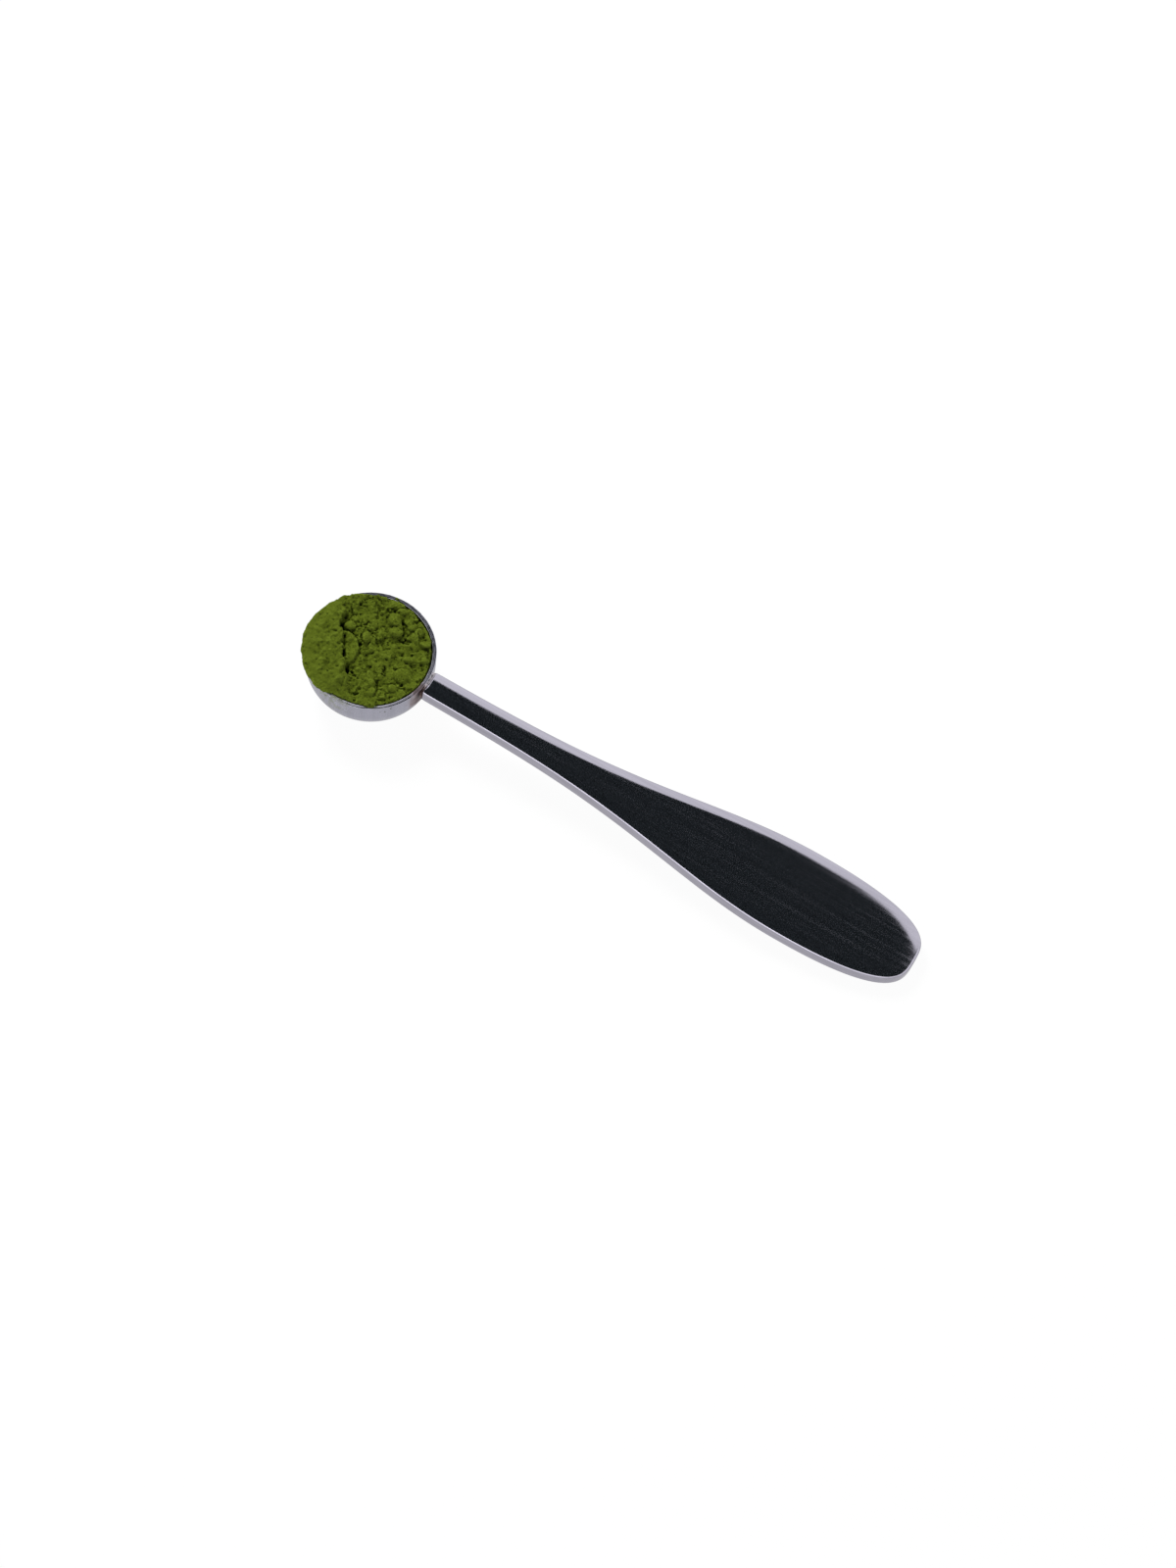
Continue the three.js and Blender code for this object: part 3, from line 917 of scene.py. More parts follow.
    def ring(self, points: np.ndarray, normals: np.ndarray, level: Triple) -> np.ndarray:
        """Half of one inset outline, from the neck end to the tip.

        Args:
            points: Outline points.
            normals: Outward normals at those points.
            level: Shoulder share, edge inset and height.

        Returns:
            Points of three columns in the bar's own frame.
        """
        share, edge, height = level
        wide = smooth(points[:, 0], *(share * self.length for share in self.widening))
        shoulder = self.shoulder_width + (self.shoulder_tip_width - self.shoulder_width) * wide
        side = points - normals * (edge + share * shoulder)[:, None]
        side_y = self.neck_width / 2 - edge - share * self.shoulder_width
        corner = min(self.corner, self.corner_share * side_y)
        bend = np.linspace(0.0, QUARTER, self.corner_points)
        first = self.end_rounding * edge + share * self.end_bevel
        end = np.column_stack(
            (first + corner * (1.0 - np.sin(bend)), side_y - corner * (1.0 - np.cos(bend)))
        )[::-1]
        half = np.vstack((end, side))
        return np.column_stack((half, np.full(len(half), height)))

    def build(self, steel: Material) -> Piece:
        """Lofts the bar through its inset outlines.

        Args:
            steel: Material of the handle.

        Returns:
            The handle.
        """
        points, normals = self.outline()
        rings = []
        for level in self.levels():
            half = self.ring(points, normals, level)
            mirrored = half[:-1][::-1] * (1.0, -1.0, 1.0)
            rings.append(np.vstack((half, mirrored)))
        size = len(rings[0])
        faces = ring_faces(len(rings), size)
        tip = (size - 1) // 2
        for first in (0, (len(rings) - 1) * size):
            for i in range(tip):
                strip = [i, i + 1, size - 2 - i, size - 1 - i]
                faces.append([first + n for n in dict.fromkeys(strip)])
        handle = mesh_object("handle_bar", np.vstack(rings), faces)
        handle.data.transform(self.place)
        handle.data.materials.append(steel)
        return handle


@dataclass
class WeldSeam:
    """Bead of weld metal between the cup's wall and the end of the handle."""

    half_width: float = 2.25 * MM
    top: float = -0.1 * MM
    bottom: float = -2.8 * MM
    near_drop: float = 0.75 * MM
    corner: float = 0.7 * MM
    into_wall: float = 0.2 * MM
    into_handle: float = 0.25 * MM
    toe: float = 0.16 * MM
    toe_inset: float = 0.05 * MM
    near_zone: Pair = (-1.6 * MM, -0.3 * MM)
    squareness: float = 1.9
    ripple_height: float = 0.045 * MM
    ripple_scale: float = 2200.0
    ripple_drift: float = 3.0
    wave_share: float = 0.6
    wave_step: float = 0.9
    wave_drift: float = 2.0
    loop_points: int = 160
    stations: int = 13

    def loop(self) -> np.ndarray:
        """Rounded rectangle round the bead, with outward directions.

        Returns:
            Rows of across, height, and the two parts of the outward direction.
        """
        middle = (self.top + self.bottom) / 2
        inner = (self.half_width - self.corner, (self.top - self.bottom) / 2 - self.corner)
        rows = []
        for turn in np.linspace(0.0, math.tau, self.loop_points, endpoint=False):
            direction = np.array((math.cos(turn), math.sin(turn)))
            core = np.sign(direction) * inner * np.minimum(np.abs(direction) * self.squareness, 1.0)
            at = core + self.corner * direction
            drop = self.near_drop * (1.0 - smooth(at[0], *self.near_zone))
            height = at[1] - drop * max(at[1], 0.0) / (self.top - middle)
            rows.append((at[0], height + middle, direction[0], direction[1]))
        return np.array(rows)

    def build(self, cup: Cup, handle: Handle, metal: Material) -> Piece:
        """Builds the bead from the wall of the cup to the end of the handle.

        Args:
            cup: Cup that the bead is welded to.
            handle: Handle that the bead holds.
            metal: Material of the bead.

        Returns:
            The bead.
        """
        place = handle.place
        points = []
        for station in np.linspace(0.0, 1.0, self.stations):
            swell = self.toe * (abs(2.0 * station - 1.0) ** 2.0) - self.toe_inset
            for number, (across, height, out_y, out_z) in enumerate(self.loop()):
                wave = math.sin(number * self.wave_step + self.wave_drift * station)
                scale = self.ripple_scale
                bead = ripple(scale * across, scale * height, self.ripple_drift * station)
                bead = self.ripple_height * (bead + self.wave_share * wave)
                grown = swell + bead * math.sin(math.pi * station) ** 0.5
                end = place @ Vector((self.into_handle, across + grown * out_y, height + grown * out_z))
                wall_radius = cup.outside(min(end.z, cup.height))
                wall_x = math.sqrt(wall_radius**2 - end.y**2) - self.into_wall
                points.append((wall_x + (end.x - wall_x) * station, end.y, end.z))
        count = self.loop_points
        faces = ring_faces(self.stations, count)
        faces.append(range(count))
        faces.append(range((self.stations - 1) * count, self.stations * count))
        seam = mesh_object("weld_bead", points, faces)
        seam.data.materials.append(metal)
        return seam


@dataclass
class Crumbs:
    """Loose lumps of powder, strewn from a list of places and sizes."""

    seed: int = 11
    knobs: float = 0.3
    facets: int = 2
    smallest_shape: Triple = (0.85, 0.7, 0.5)
    largest_shape: Triple = (1.35, 1.1, 0.75)
    tilt: Triple = (0.12, 0.12, 1.0)
    knob_scale: float = 1.1

    def tree(self) -> Tree:
        """Tree that sets an uneven lump of its own size on each point."""
        sockets = {"Facets": (WHOLE, 2), "Knobs": (FLOAT, 0.3), "Seed": (WHOLE, 0)}
        sheet, came, out = geometry_tree("Strewn lumps", sockets)
        lump = sheet.add("GeometryNodeMeshIcoSphere", {"Radius": 1.0, "Subdivisions": came["Facets"]})
        named = {"Name": "size"}
        size = sheet.add("GeometryNodeInputNamedAttribute", named, data_type="FLOAT").outputs[0]
        spin = sheet.add("FunctionNodeRandomValue", data_type="FLOAT_VECTOR")
        sheet.fill(spin, {1: (math.tau,) * 3, "Seed": came["Seed"]})
        shape = sheet.add("FunctionNodeRandomValue", data_type="FLOAT_VECTOR")
        sheet.fill(shape, {0: self.smallest_shape, 1: self.largest_shape})
        sheet.fill(shape, {"Seed": sheet.math("ADD", came["Seed"], 1.0)})
        strewn = sheet.add(
            "GeometryNodeInstanceOnPoints",
            {
                "Points": came["Geometry"],
                "Instance": lump.outputs[0],
                "Rotation": sheet.vector("MULTIPLY", spin.outputs[0], self.tilt),
                "Scale": sheet.vector("MULTIPLY", shape.outputs[0], size),
            },
        ).outputs[0]
        real = sheet.add("GeometryNodeRealizeInstances", {0: strewn}).outputs[0]
        place = sheet.add("GeometryNodeInputPosition").outputs[0]
        scale = sheet.math("DIVIDE", self.knob_scale, size)
        bumps = {"Vector": place, "Scale": scale, "Detail": 3.0, "Roughness": 0.6}
        bumps = sheet.add("ShaderNodeTexNoise", bumps).outputs[1]
        push = sheet.vector("SUBTRACT", bumps, (0.5, 0.5, 0.5))
        push = sheet.vector("MULTIPLY", push, sheet.times(size, came["Knobs"]))
        uneven = sheet.add("GeometryNodeSetPosition", {"Geometry": real, "Offset": push}).outputs[0]
        return end_tree(sheet, came, out, uneven)

    def strew(self, name: str, lumps: list[tuple], finish: Material) -> Piece:
        """Sets a lump on each place.

        Args:
            name: Name of the object.
            lumps: Place and size of each lump, in millimetres.
            finish: Material of the lumps.

        Returns:
            The lumps as one mesh, one unit to the millimetre.
        """
        strewn = mesh_object(name, [lump[:3] for lump in lumps], ())
        sizes = strewn.data.attributes.new("size", "FLOAT", "POINT")
        sizes.data.foreach_set("value", [lump[3] for lump in lumps])
        values = {"Facets": self.facets, "Knobs": self.knobs, "Seed": self.seed}
        run_tree(strewn, self.tree(), **values, Material=finish)
        return strewn


# Strengths of the powder's relief before and after its clumps are added.
FIRST_RELIEF = {"Crumbs": 1.2, "Fluff": 0.7, "Grain": 0.0, "Pits": 0.75}
LAST_RELIEF = {"Crumbs": 0.1, "Fluff": 0.2, "Grain": 0.45, "Pits": 0.15}
# Direction of the heap from the axis, and middle of the slab, in millimetres.
HEAP_SIDE = (-0.86, -0.5, 0.0)
SLAB_CENTRE = (-3.5, -1.4, 9.4)
# Scale, lift, depth of the gaps and share on the heap of each layer of crumbs.
CRUMB_LAYERS = ((0.5, 0.3, 0.4, 0.1), (1.3, 0.1, 0.2, 0.3))
# Passes of smoothing, and gain, of each size of hollow and crest that the powder's colour turns into
# painted shade and painted light.
HOLLOW_SHADE_LAYERS = ((4, 2.4), (22, 0.9))


@dataclass
class MatchaPowder:
    """Heaped powder: a soft heap over the rim on one side, a ragged scarp and a crumbly floor.

    Its sizes are in millimetres, as the shaping is done at that scale. Directions along the edge
    are in degrees, other angles in radians. The crack and the clumps of the floor are given as
    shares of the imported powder's radius. A noise layer is a height, a scale and a place of its own.
    A pair for a random draw is its start and its span.
    """

    cup_radius: float = CUP_RADIUS
    cup_height: float = CUP_HEIGHT
    cup_wall: float = CUP_WALL
    bottom_radius: float = CUP_BOTTOM
    clearance: float = 0.15
    packed_inset: float = 0.3
    seed: int = 23
    voxel: float = 0.125
    kept_share: float = 0.6
    thinned_below_rim: float = 2.0
    columns: int = 280
    rings: int = 80
    under_points: int = 24

    edge_by_angle: tuple[Pair, ...] = (
        (-180.0, 11.85), (-170.0, 12.05), (-148.0, 12.05), (-125.0, 12.05), (-112.0, 11.95),
        (-104.0, 11.5), (-98.0, 10.95), (-92.0, 10.65), (-86.0, 10.57), (-71.0, 10.57),
        (-65.0, 10.7), (-60.5, 10.95), (-56.5, 10.7), (-54.5, 10.52), (-42.0, 10.42),
        (65.0, 10.42), (85.0, 10.55), (106.0, 10.65), (115.0, 10.75), (130.0, 11.0),
        (143.0, 11.4), (160.0, 11.4), (170.0, 11.6), (180.0, 11.85),
    )
    edge_below_rim: float = 0.35
    front_below_rim: float = 0.08
    front_end: Pair = (-40.0, 10.0)
    lapped_from: Pair = (10.45, 10.85)
    lapped_height: float = 0.05
    low_waver: float = 0.4
    lapped_waver: Pair = (0.08, 0.12)
    edge_blend: float = 0.3
    lip_height: float = 0.42
    lip_start: float = 0.2
    front_lip_loss: float = 0.75
    front_lip_from: Pair = (-110.0, -95.0)
    front_lip_to: Pair = (-15.0, 10.0)

    heap_rise: float = 1.0
    heap_layers: tuple[Triple, ...] = ((0.5, 0.3, 0.0), (0.42, 0.75, 2.0), (0.2, 1.7, 3.0))
    ridge_height: float = 0.3
    ridge_turn: float = 1.08
    scarp_from_axis: float = 4.6
    scarp_turn: float = 0.54
    scarp_width: float = 0.3
    scarp_end_width: float = 3.4
    scarp_near_end: Pair = (-7.4, -4.6)
    scarp_far_end: Pair = (3.6, 6.2)
    scarp_teeth: tuple[Pair, ...] = (
        (-6.5, 0.4), (-4.3, 0.3), (-2.4, 0.15), (-0.8, -0.35), (0.9, -0.05),
        (1.3, -0.4), (3.6, -0.05), (4.2, -0.7), (5.2, -0.75), (7.6, 0.3),
    )
    scarp_layers: tuple[tuple[float, ...], ...] = ((0.3, 1.9, 0.5, 8.1), (0.2, 4.3, 0.9, 1.7))
    crevices: tuple[Triple, ...] = ((2.3, 5.7, 0.25), (-1.5, 1.7, 0.15), (-4.6, -2.2, -0.3))
    crevice_depth: float = 2.0
    crevice_taper: float = 0.5
    crevice_half_widths: Pair = (0.12, 0.5)
    crevice_layers: tuple[Triple, ...] = ((0.2, 1.3, 4.0), (0.12, 3.5, 9.0))

    floor_drop: float = 0.2
    floor_layers: tuple[Triple, ...] = ((0.4, 0.5, 9.0), (0.24, 1.3, 4.0))
    foot_drop: float = 0.25
    foot_range: Pair = (-2.0, -0.4)
    crack_centre: Pair = (-0.487, -0.214)
    crack_radius: float = 0.339
    crack_turn: Pair = (-0.15, 1.85)
    crack_depth: float = 0.9
    crack_width: float = 0.26
    crack_layers: tuple[Triple, ...] = ((0.12, 1.3, 5.0),)
    slab_rise: float = 0.45
    slab_edge: float = 0.2
    moat_depth: float = 0.3
    moat_place: float = 1.1
    moat_width: float = 0.3

    large_clumps: tuple[Triple, ...] = (
        (0.05, 0.72, 0.127), (0.28, 0.77, 0.074), (0.19, 0.52, 0.103), (0.71, 0.56, 0.083),
        (0.53, 0.70, 0.088), (-0.02, 0.46, 0.05), (-0.54, 0.23, 0.093), (0.44, 0.54, 0.06),
        (0.27, 0.11, 0.05), (0.70, -0.13, 0.132), (0.66, -0.43, 0.083), (0.82, -0.40, 0.064),
        (0.25, -0.74, 0.05), (0.87, 0.29, 0.074), (-0.19, 0.19, 0.09),
    )
    large_size: float = 0.75
    large_sink_and_growth: Pair = (0.05, 1.1)
    small_sink_and_growth: Pair = (0.5, 1.0)
    clump_knobs: float = 0.85
    small_clump_count: int = 42
    small_clump_size: float = 0.064
    small_clump_spread: float = 0.4
    small_clump_stray: float = 0.35
    slab_margin: float = 1.2
    crumb_count: int = 90
    crumb_size: Pair = (0.1, 0.16)
    crumb_lift: float = 0.3
    bare_heap_share: float = 0.9
    bare_slab_share: float = 0.95
    spill: tuple[Triple, ...] = ((5.3, -9.1, 0.45), (4.7, -9.4, 0.4), (5.7, -8.9, 0.35))
    spill_count: int = 36
    spill_turn: Pair = (-1.14, 0.18)
    spill_reach: Pair = (9.9, 0.85)
    spill_size: Pair = (0.12, 0.2)

    far_grains: tuple[tuple[float, ...], ...] = ((-1.2, 10.85, 0.1, 0.26), (-0.9, 10.95, 0.06, 0.15))
    rim_grain_count: int = 40
    rim_grain_turn: Pair = (-2.0, 1.1)
    rim_grain_size: Pair = (0.04, 0.09)
    wall_grains: tuple[tuple[float, float, int], ...] = ((-1.85, 0.2, 12), (-0.87, 0.1, 6))
    wall_grain_size: Pair = (0.04, 0.08)
    wall_grain_drop: Pair = (0.3, 1.3)
    chance: np.random.RandomState = field(init=False)

    def __post_init__(self) -> None:
        """Fixes the scatter, so that every run gives the same powder."""
        self.chance = np.random.RandomState(self.seed)

    @property
    def packed_radius(self) -> float:
        """Radius of the powder's solid inside the cup."""
        return self.cup_radius - self.cup_wall - self.packed_inset

    @property
    def inner_radius(self) -> float:
        """Radius of the powder's side inside the cup's wall."""
        return self.cup_radius - self.cup_wall - self.clearance

    @property
    def crack(self) -> Triple:
        """Centre of the curved crack in the floor, and its radius."""
        return tuple(share * self.packed_radius for share in (*self.crack_centre, self.crack_radius))

    def draw(self, span: Pair, power: float = 1.0) -> float:
        """Random number from a start and a span; a higher power crowds it to the start."""
        return span[0] + span[1] * self.chance.rand() ** power

    def layered(self, layers: Iterable[Triple], x: float, y: float) -> float:
        """Sum of noise layers at a place."""
        total = 0.0
        for height, scale, place in layers:
            total += height * ripple(scale * x, scale * y, place)
        return total

    def edge_at(self, angle: float) -> Pair:
        """Edge of the powder in a direction: inside the wall, or lapping over the rim.

        Args:
            angle: Direction from the cup's axis.

        Returns:
            Distance of the edge from the axis, and its height.
        """
        turn = signed_degrees(angle)
        lip = float(np.interp(turn, *zip(*self.edge_by_angle)))
        waver = ripple(*polar(2.5, angle), 1.0)
        quick = ripple(*polar(9.0, angle), 6.0)
        lapped = ease(lip, *self.lapped_from)
        below = self.edge_below_rim * ease(turn, *self.front_end) + self.front_below_rim
        low = self.cup_height - below * (1.0 - self.low_waver * waver - self.low_waver * quick)
        height = low + (self.cup_height + self.lapped_height - low) * lapped
        slow_part, quick_part = self.lapped_waver
        return lip + (slow_part * waver + quick_part * quick) * lapped, height

    def behind_scarp(self, x: float, y: float) -> float:
        """Distance behind the ragged edge of the heap; negative on the crumbly floor."""
        along, line = self.by_scarp(x, y)
        ragged = float(np.interp(along, *zip(*self.scarp_teeth)))
        for height, scale_y, scale_x, place in self.scarp_layers:
            ragged += height * ripple(scale_y * y, place, scale_x * x)
        return line + ragged

    def by_scarp(self, x: float, y: float) -> Pair:
        """Place along the straight line of the scarp, and distance behind that line."""
        cos, sin = polar(1.0, self.scarp_turn)
        return y * cos - x * sin, -x * cos - y * sin - self.scarp_from_axis

    def on_heap(self, x: float, y: float) -> float:
        """Share of the heap: 0 on the floor, 1 on the heap; its ends fade into the floor."""
        held = ease(y, *self.scarp_near_end) * (1.0 - ease(y, *self.scarp_far_end))
        width = self.scarp_width + self.scarp_end_width * (1.0 - held)
        return ease(self.behind_scarp(x, y), -width / 2, width / 2)

    def crevice(self, x: float, y: float) -> float:
        """Depth of the broken line of crevices along the foot of the scarp."""
        along, line = self.by_scarp(x, y)
        waver = 0.0
        for height, scale, place in self.crevice_layers:
            waver += height * ripple(scale * along, place, 0.0)
        line += waver
        deepest = 0.0
        for start, end, place in self.crevices:
            held = ease(along, start, start + self.crevice_taper)
            held *= 1.0 - ease(along, end - self.crevice_taper, end)
            deepest = max(deepest, held * (1.0 - ease(abs(line - place), *self.crevice_half_widths)))
        return self.crevice_depth * deepest

    def from_crack(self, x: float, y: float) -> float:
        """Distance from the curved crack in the floor."""
        centre_x, centre_y, radius = self.crack
        turn = np.clip(math.atan2(y - centre_y, x - centre_x), *self.crack_turn)
        crack_x, crack_y = polar(radius, turn)
        away = math.hypot(x - centre_x - crack_x, y - centre_y - crack_y)
        return away + self.layered(self.crack_layers, x, y)

    def on_slab(self, x: float, y: float) -> float:
        """Share of the slab that the crack parts from the floor: 1 on it, 0 past the crack."""
        centre_x, centre_y, radius = self.crack
        away = math.hypot(x - centre_x, y - centre_y)
        return 1.0 - ease(away, radius - self.slab_edge, radius + self.slab_edge)

    def moat(self, x: float, y: float) -> float:
        """Depth of the gap that runs round each large clump."""
        deepest = 0.0
        for place in self.large_clumps:
            clump_x, clump_y, size = (share * self.packed_radius for share in place)
            off = abs(math.hypot(x - clump_x, y - clump_y) / size - self.moat_place)
            deepest = max(deepest, min(size, 1.0) * (1.0 - ease(off, 0.0, self.moat_width)))
        return self.moat_depth * deepest

    def ridges(self, x: float, y: float) -> float:
        """Height of the soft ridges that the scoop left across the heap."""
        cos, sin = polar(1.0, self.ridge_turn)
        along, across = x * cos + y * sin, y * cos - x * sin
        drawn = ripple(0.3 * along, across, 12.0)
        return self.ridge_height * (drawn + 0.5 * ripple(0.7 * along, 2.2 * across, 15.0))

    def surface(self, x: float, y: float) -> float:
        """Height of the powder's top away from its edge."""
        heap = self.heap_rise + self.layered(self.heap_layers, x, y) + self.ridges(x, y)
        floor = self.layered(self.floor_layers, x, y) - self.floor_drop
        floor -= self.crack_depth * (1.0 - ease(self.from_crack(x, y), 0.0, self.crack_width))
        floor -= self.foot_drop * ease(self.behind_scarp(x, y), *self.foot_range)
        floor += self.slab_rise * self.on_slab(x, y)
        floor -= max(self.crevice(x, y), self.moat(x, y))
        return self.cup_height + floor + (heap - floor) * self.on_heap(x, y)

    def top_at(self, x: float, y: float) -> float:
        """Height of the powder's top, edge included."""
        angle = math.atan2(y, x)
        lip, height = self.edge_at(angle)
        blend = ease(1.0 - min(math.hypot(x, y) / lip, 1.0), 0.0, self.edge_blend)
        crest = height + self.lip_at(angle)
        return crest + (self.surface(x, y) - crest) * blend

    def lip_at(self, angle: float) -> float:
        """Height of the powder's rounded edge in a direction; low along the front of the cup."""
        turn = signed_degrees(angle)
        front = ease(turn, *self.front_lip_from) * (1.0 - ease(turn, *self.front_lip_to))
        return self.lip_height * (1.0 - self.front_lip_loss * front)

    def bed(self) -> Piece:
        """Solid body of the powder, without its crumbs.

        Returns:
            The body, one unit to the millimetre.
        """
        base = self.cup_radius - self.bottom_radius
        under_radius = self.bottom_radius - self.cup_wall - self.clearance
        under = [
            (base + under_radius * math.cos(a), self.bottom_radius + under_radius * math.sin(a))
            for a in np.linspace(-QUARTER, 0.0, self.under_points)
        ]
        length = len(under) + 2 + self.rings
        points = [(0.0, 0.0, self.cup_wall + self.clearance)]
        for angle in np.linspace(0.0, math.tau, self.columns, endpoint=False):
            lip, height = self.edge_at(angle)
            lip_foot = height + self.lip_start * self.lip_at(angle)
            column = [*under, (self.inner_radius, height), (lip, lip_foot)]
            for ring in range(self.rings, 0, -1):
                r = lip * ring / (self.rings + 1)
                column.append((r, self.top_at(*polar(r, angle))))
            points.extend((*polar(r, angle), z) for r, z in column)
        points.append((0.0, 0.0, self.surface(0.0, 0.0)))
        crown = len(points) - 1
        faces = []
        for i in range(self.columns):
            here, there = 1 + i * length, 1 + (i + 1) % self.columns * length
            faces.append((0, there, here))
            for j in range(length - 1):
                faces.append((here + j, there + j, there + j + 1, here + j + 1))
            faces.append((here + length - 1, there + length - 1, crown))
        return mesh_object("matcha_powder_heap", points, faces)

    def solid_clumps(self) -> list[Triple]:
        """Clumps that the solid has too: the large ones, then smaller ones at the golden angle.

        Returns:
            Place and size of each, in millimetres.
        """
        small = []
        slab_x, slab_y = self.crack_centre
        for i in range(self.small_clump_count):
            turn = i * GOLDEN_ANGLE
            bent = turn + self.small_clump_stray * math.sin(3.0 * turn)
            size = self.small_clump_size * (1.0 + self.small_clump_spread * math.sin(5.0 * turn))
            distance = (1.0 - 1.1 * size) * math.sqrt((i + 0.5) / self.small_clump_count)
            x, y = polar(distance, bent)
            if math.hypot(x - slab_x, y - slab_y) > self.slab_margin * self.crack_radius:
                small.append((x, y, size))
        clumps = self.packed_radius * np.array((*self.large_clumps, *small))
        return [(x, y, size) for x, y, size in clumps.tolist() if self.behind_scarp(x, y) < -0.6 * size]

    def lumps(self) -> list[tuple]:
        """Places and sizes of all clumps: the solid's own, loose crumbs and what spills over the rim."""
        found = []
        for x, y, size in self.solid_clumps():
            large = size > self.large_size
            sink, growth = self.large_sink_and_growth if large else self.small_sink_and_growth
            found.append((x, y, self.top_at(x, y) - sink * size, growth * size))
        found += [(x, y, self.top_at(x, y), size) for x, y, size in self.spill]
        for _ in range(self.crumb_count):
            size = self.draw(self.crumb_size, 2.0)
            r = (self.inner_radius - 0.8 * size) * math.sqrt(self.chance.rand())
            x, y = polar(r, math.tau * self.chance.rand())
            skip, lift = self.chance.rand(2)
            if self.behind_scarp(x, y) > -0.35 * size and skip < self.bare_heap_share:
                continue
            if self.from_crack(x, y) < 1.2 and x < -1.0 and skip < self.bare_slab_share:
                continue
            height = self.top_at(x, y) - 0.1 * size + self.crumb_lift * (lift - 0.4)
            found.append((x, y, height, size))
        for _ in range(self.spill_count):
            angle = self.draw(self.spill_turn)
            r = self.draw(self.spill_reach, 1.5)
            size = self.draw(self.spill_size, 2.0)
            found.append((*polar(r, angle), self.cup_height + 0.2 * size, size))
        return found

    def relief_tree(self) -> Tree:
        """Tree that breaks the powder into crumbs and notes its hollows and crests, which its colour uses
        for painted shade and painted light.
        """
        sockets = {
            "Crumbs": (FLOAT, 1.0),
            "Fluff": (FLOAT, 0.1),
            "Grain": (FLOAT, 0.1),
            "Pits": (FLOAT, 0.3),
            "Rim height": (FLOAT, CUP_HEIGHT),
        }
        sheet, came, out = geometry_tree("Powder relief", sockets)
        place = sheet.add("GeometryNodeInputPosition").outputs[0]
        normal = sheet.add("GeometryNodeInputNormal").outputs[0]
        height, facing = sheet.part(place, 2), sheet.part(normal, 2)
        open_top = sheet.math("SUBTRACT", height, came["Rim height"])
        open_top = sheet.spread(open_top, -1.3, -0.5, 0.1, 1.0)
        open_top = sheet.times(open_top, sheet.spread(facing, -0.3, 0.5, 0.25, 1.0))
        drift = {"Vector": place, "Scale": 0.8, "Detail": 2.0}
        drift = sheet.add("ShaderNodeTexNoise", drift).outputs[1]
        drift = sheet.scaled(sheet.vector("SUBTRACT", drift, (0.5, 0.5, 0.5)), 1.7)
        warped = sheet.vector("ADD", place, drift)
        heap = sheet.spread(sheet.measure("DOT_PRODUCT", place, HEAP_SIDE), 3.4, 5.4)
        slab = sheet.spread(sheet.measure("DISTANCE", place, SLAB_CENTRE), 1.5, 2.6, 0.25, 1.0)
        broken = sheet.spread(sheet.noise(place, 0.5, 1.0), 0.44, 0.6)
        fluff = sheet.math("SUBTRACT", sheet.noise(place, 0.9, 3.0, 0.55), 0.5)
        grain = sheet.math("SUBTRACT", sheet.noise(place, 4.2, 3.0, 0.7), 0.5)
        soft = sheet.spread(heap, 0.0, 1.0, 1.0, 0.6)
        push = sheet.times(fluff, came["Fluff"], soft)
        push = sheet.math("MULTIPLY_ADD", sheet.times(grain, came["Grain"]), soft, push)
        for scale, lift, gap, share in CRUMB_LAYERS:
            cells = {"Vector": warped, "Scale": scale}
            tones = sheet.add("ShaderNodeTexVoronoi", cells).outputs["Color"]
            own = sheet.math("SUBTRACT", sheet.part(tones, 0), 0.5)
            edge = sheet.add("ShaderNodeTexVoronoi", cells, feature="DISTANCE_TO_EDGE").outputs["Distance"]
            edge = sheet.spread(edge, 0.0, 0.14, 1.0, 0.0)
            block = sheet.times(own, lift)
            block = sheet.math("MULTIPLY_ADD", edge, sheet.math("SUBTRACT", -gap, block), block)
            strength = sheet.spread(heap, 0.0, 1.0, 1.0, share)
            strength = sheet.times(strength, came["Crumbs"], slab, broken)
            push = sheet.math("MULTIPLY_ADD", block, strength, push)
        pits = sheet.spread(sheet.noise(place, 1.9, 2.0, 0.6), 0.58, 0.66, 0.0, -1.0)
        pits = sheet.times(pits, sheet.spread(sheet.noise(warped, 0.7, 1.0), 0.46, 0.58, 0.1, 1.0))
        pits = sheet.times(pits, sheet.spread(heap, 0.0, 1.0, 1.0, 0.35), slab)
        push = sheet.math("MULTIPLY_ADD", pits, came["Pits"], push)
        offset = sheet.vector("MULTIPLY", normal, sheet.times(push, open_top))
        moved = {"Geometry": came["Geometry"], "Offset": offset}
        moved = sheet.add("GeometryNodeSetPosition", moved).outputs[0]
        # Painted shade and light: how far each point stands proud of its smoothed surroundings, stored as
        # an attribute that darkens hollows and lightens crests in the powder's colour.
        parts = []
        for passes, gain in HOLLOW_SHADE_LAYERS:
            even = sheet.add("GeometryNodeBlurAttribute", data_type="FLOAT_VECTOR")
            even.inputs["Iterations"].default_value = passes
            sheet.feed(next(s for s in even.inputs if s.type == "VECTOR" and s.enabled), place)
            blurred = next(s for s in even.outputs if s.type == "VECTOR" and s.enabled)
            proud = sheet.measure("DOT_PRODUCT", sheet.vector("SUBTRACT", place, blurred), normal)
            parts.append(sheet.times(proud, gain))
        relief = sheet.math("ADD", sheet.math("ADD", *parts), 0.5, clamp=True)
        named = {"Geometry": moved, "Name": "relief"}
        noted = sheet.add("GeometryNodeStoreNamedAttribute", named, data_type="FLOAT", domain="POINT")
        sheet.feed(next(s for s in noted.inputs if s.name == "Value" and s.enabled), relief)
        return end_tree(sheet, came, out, noted.outputs[0])

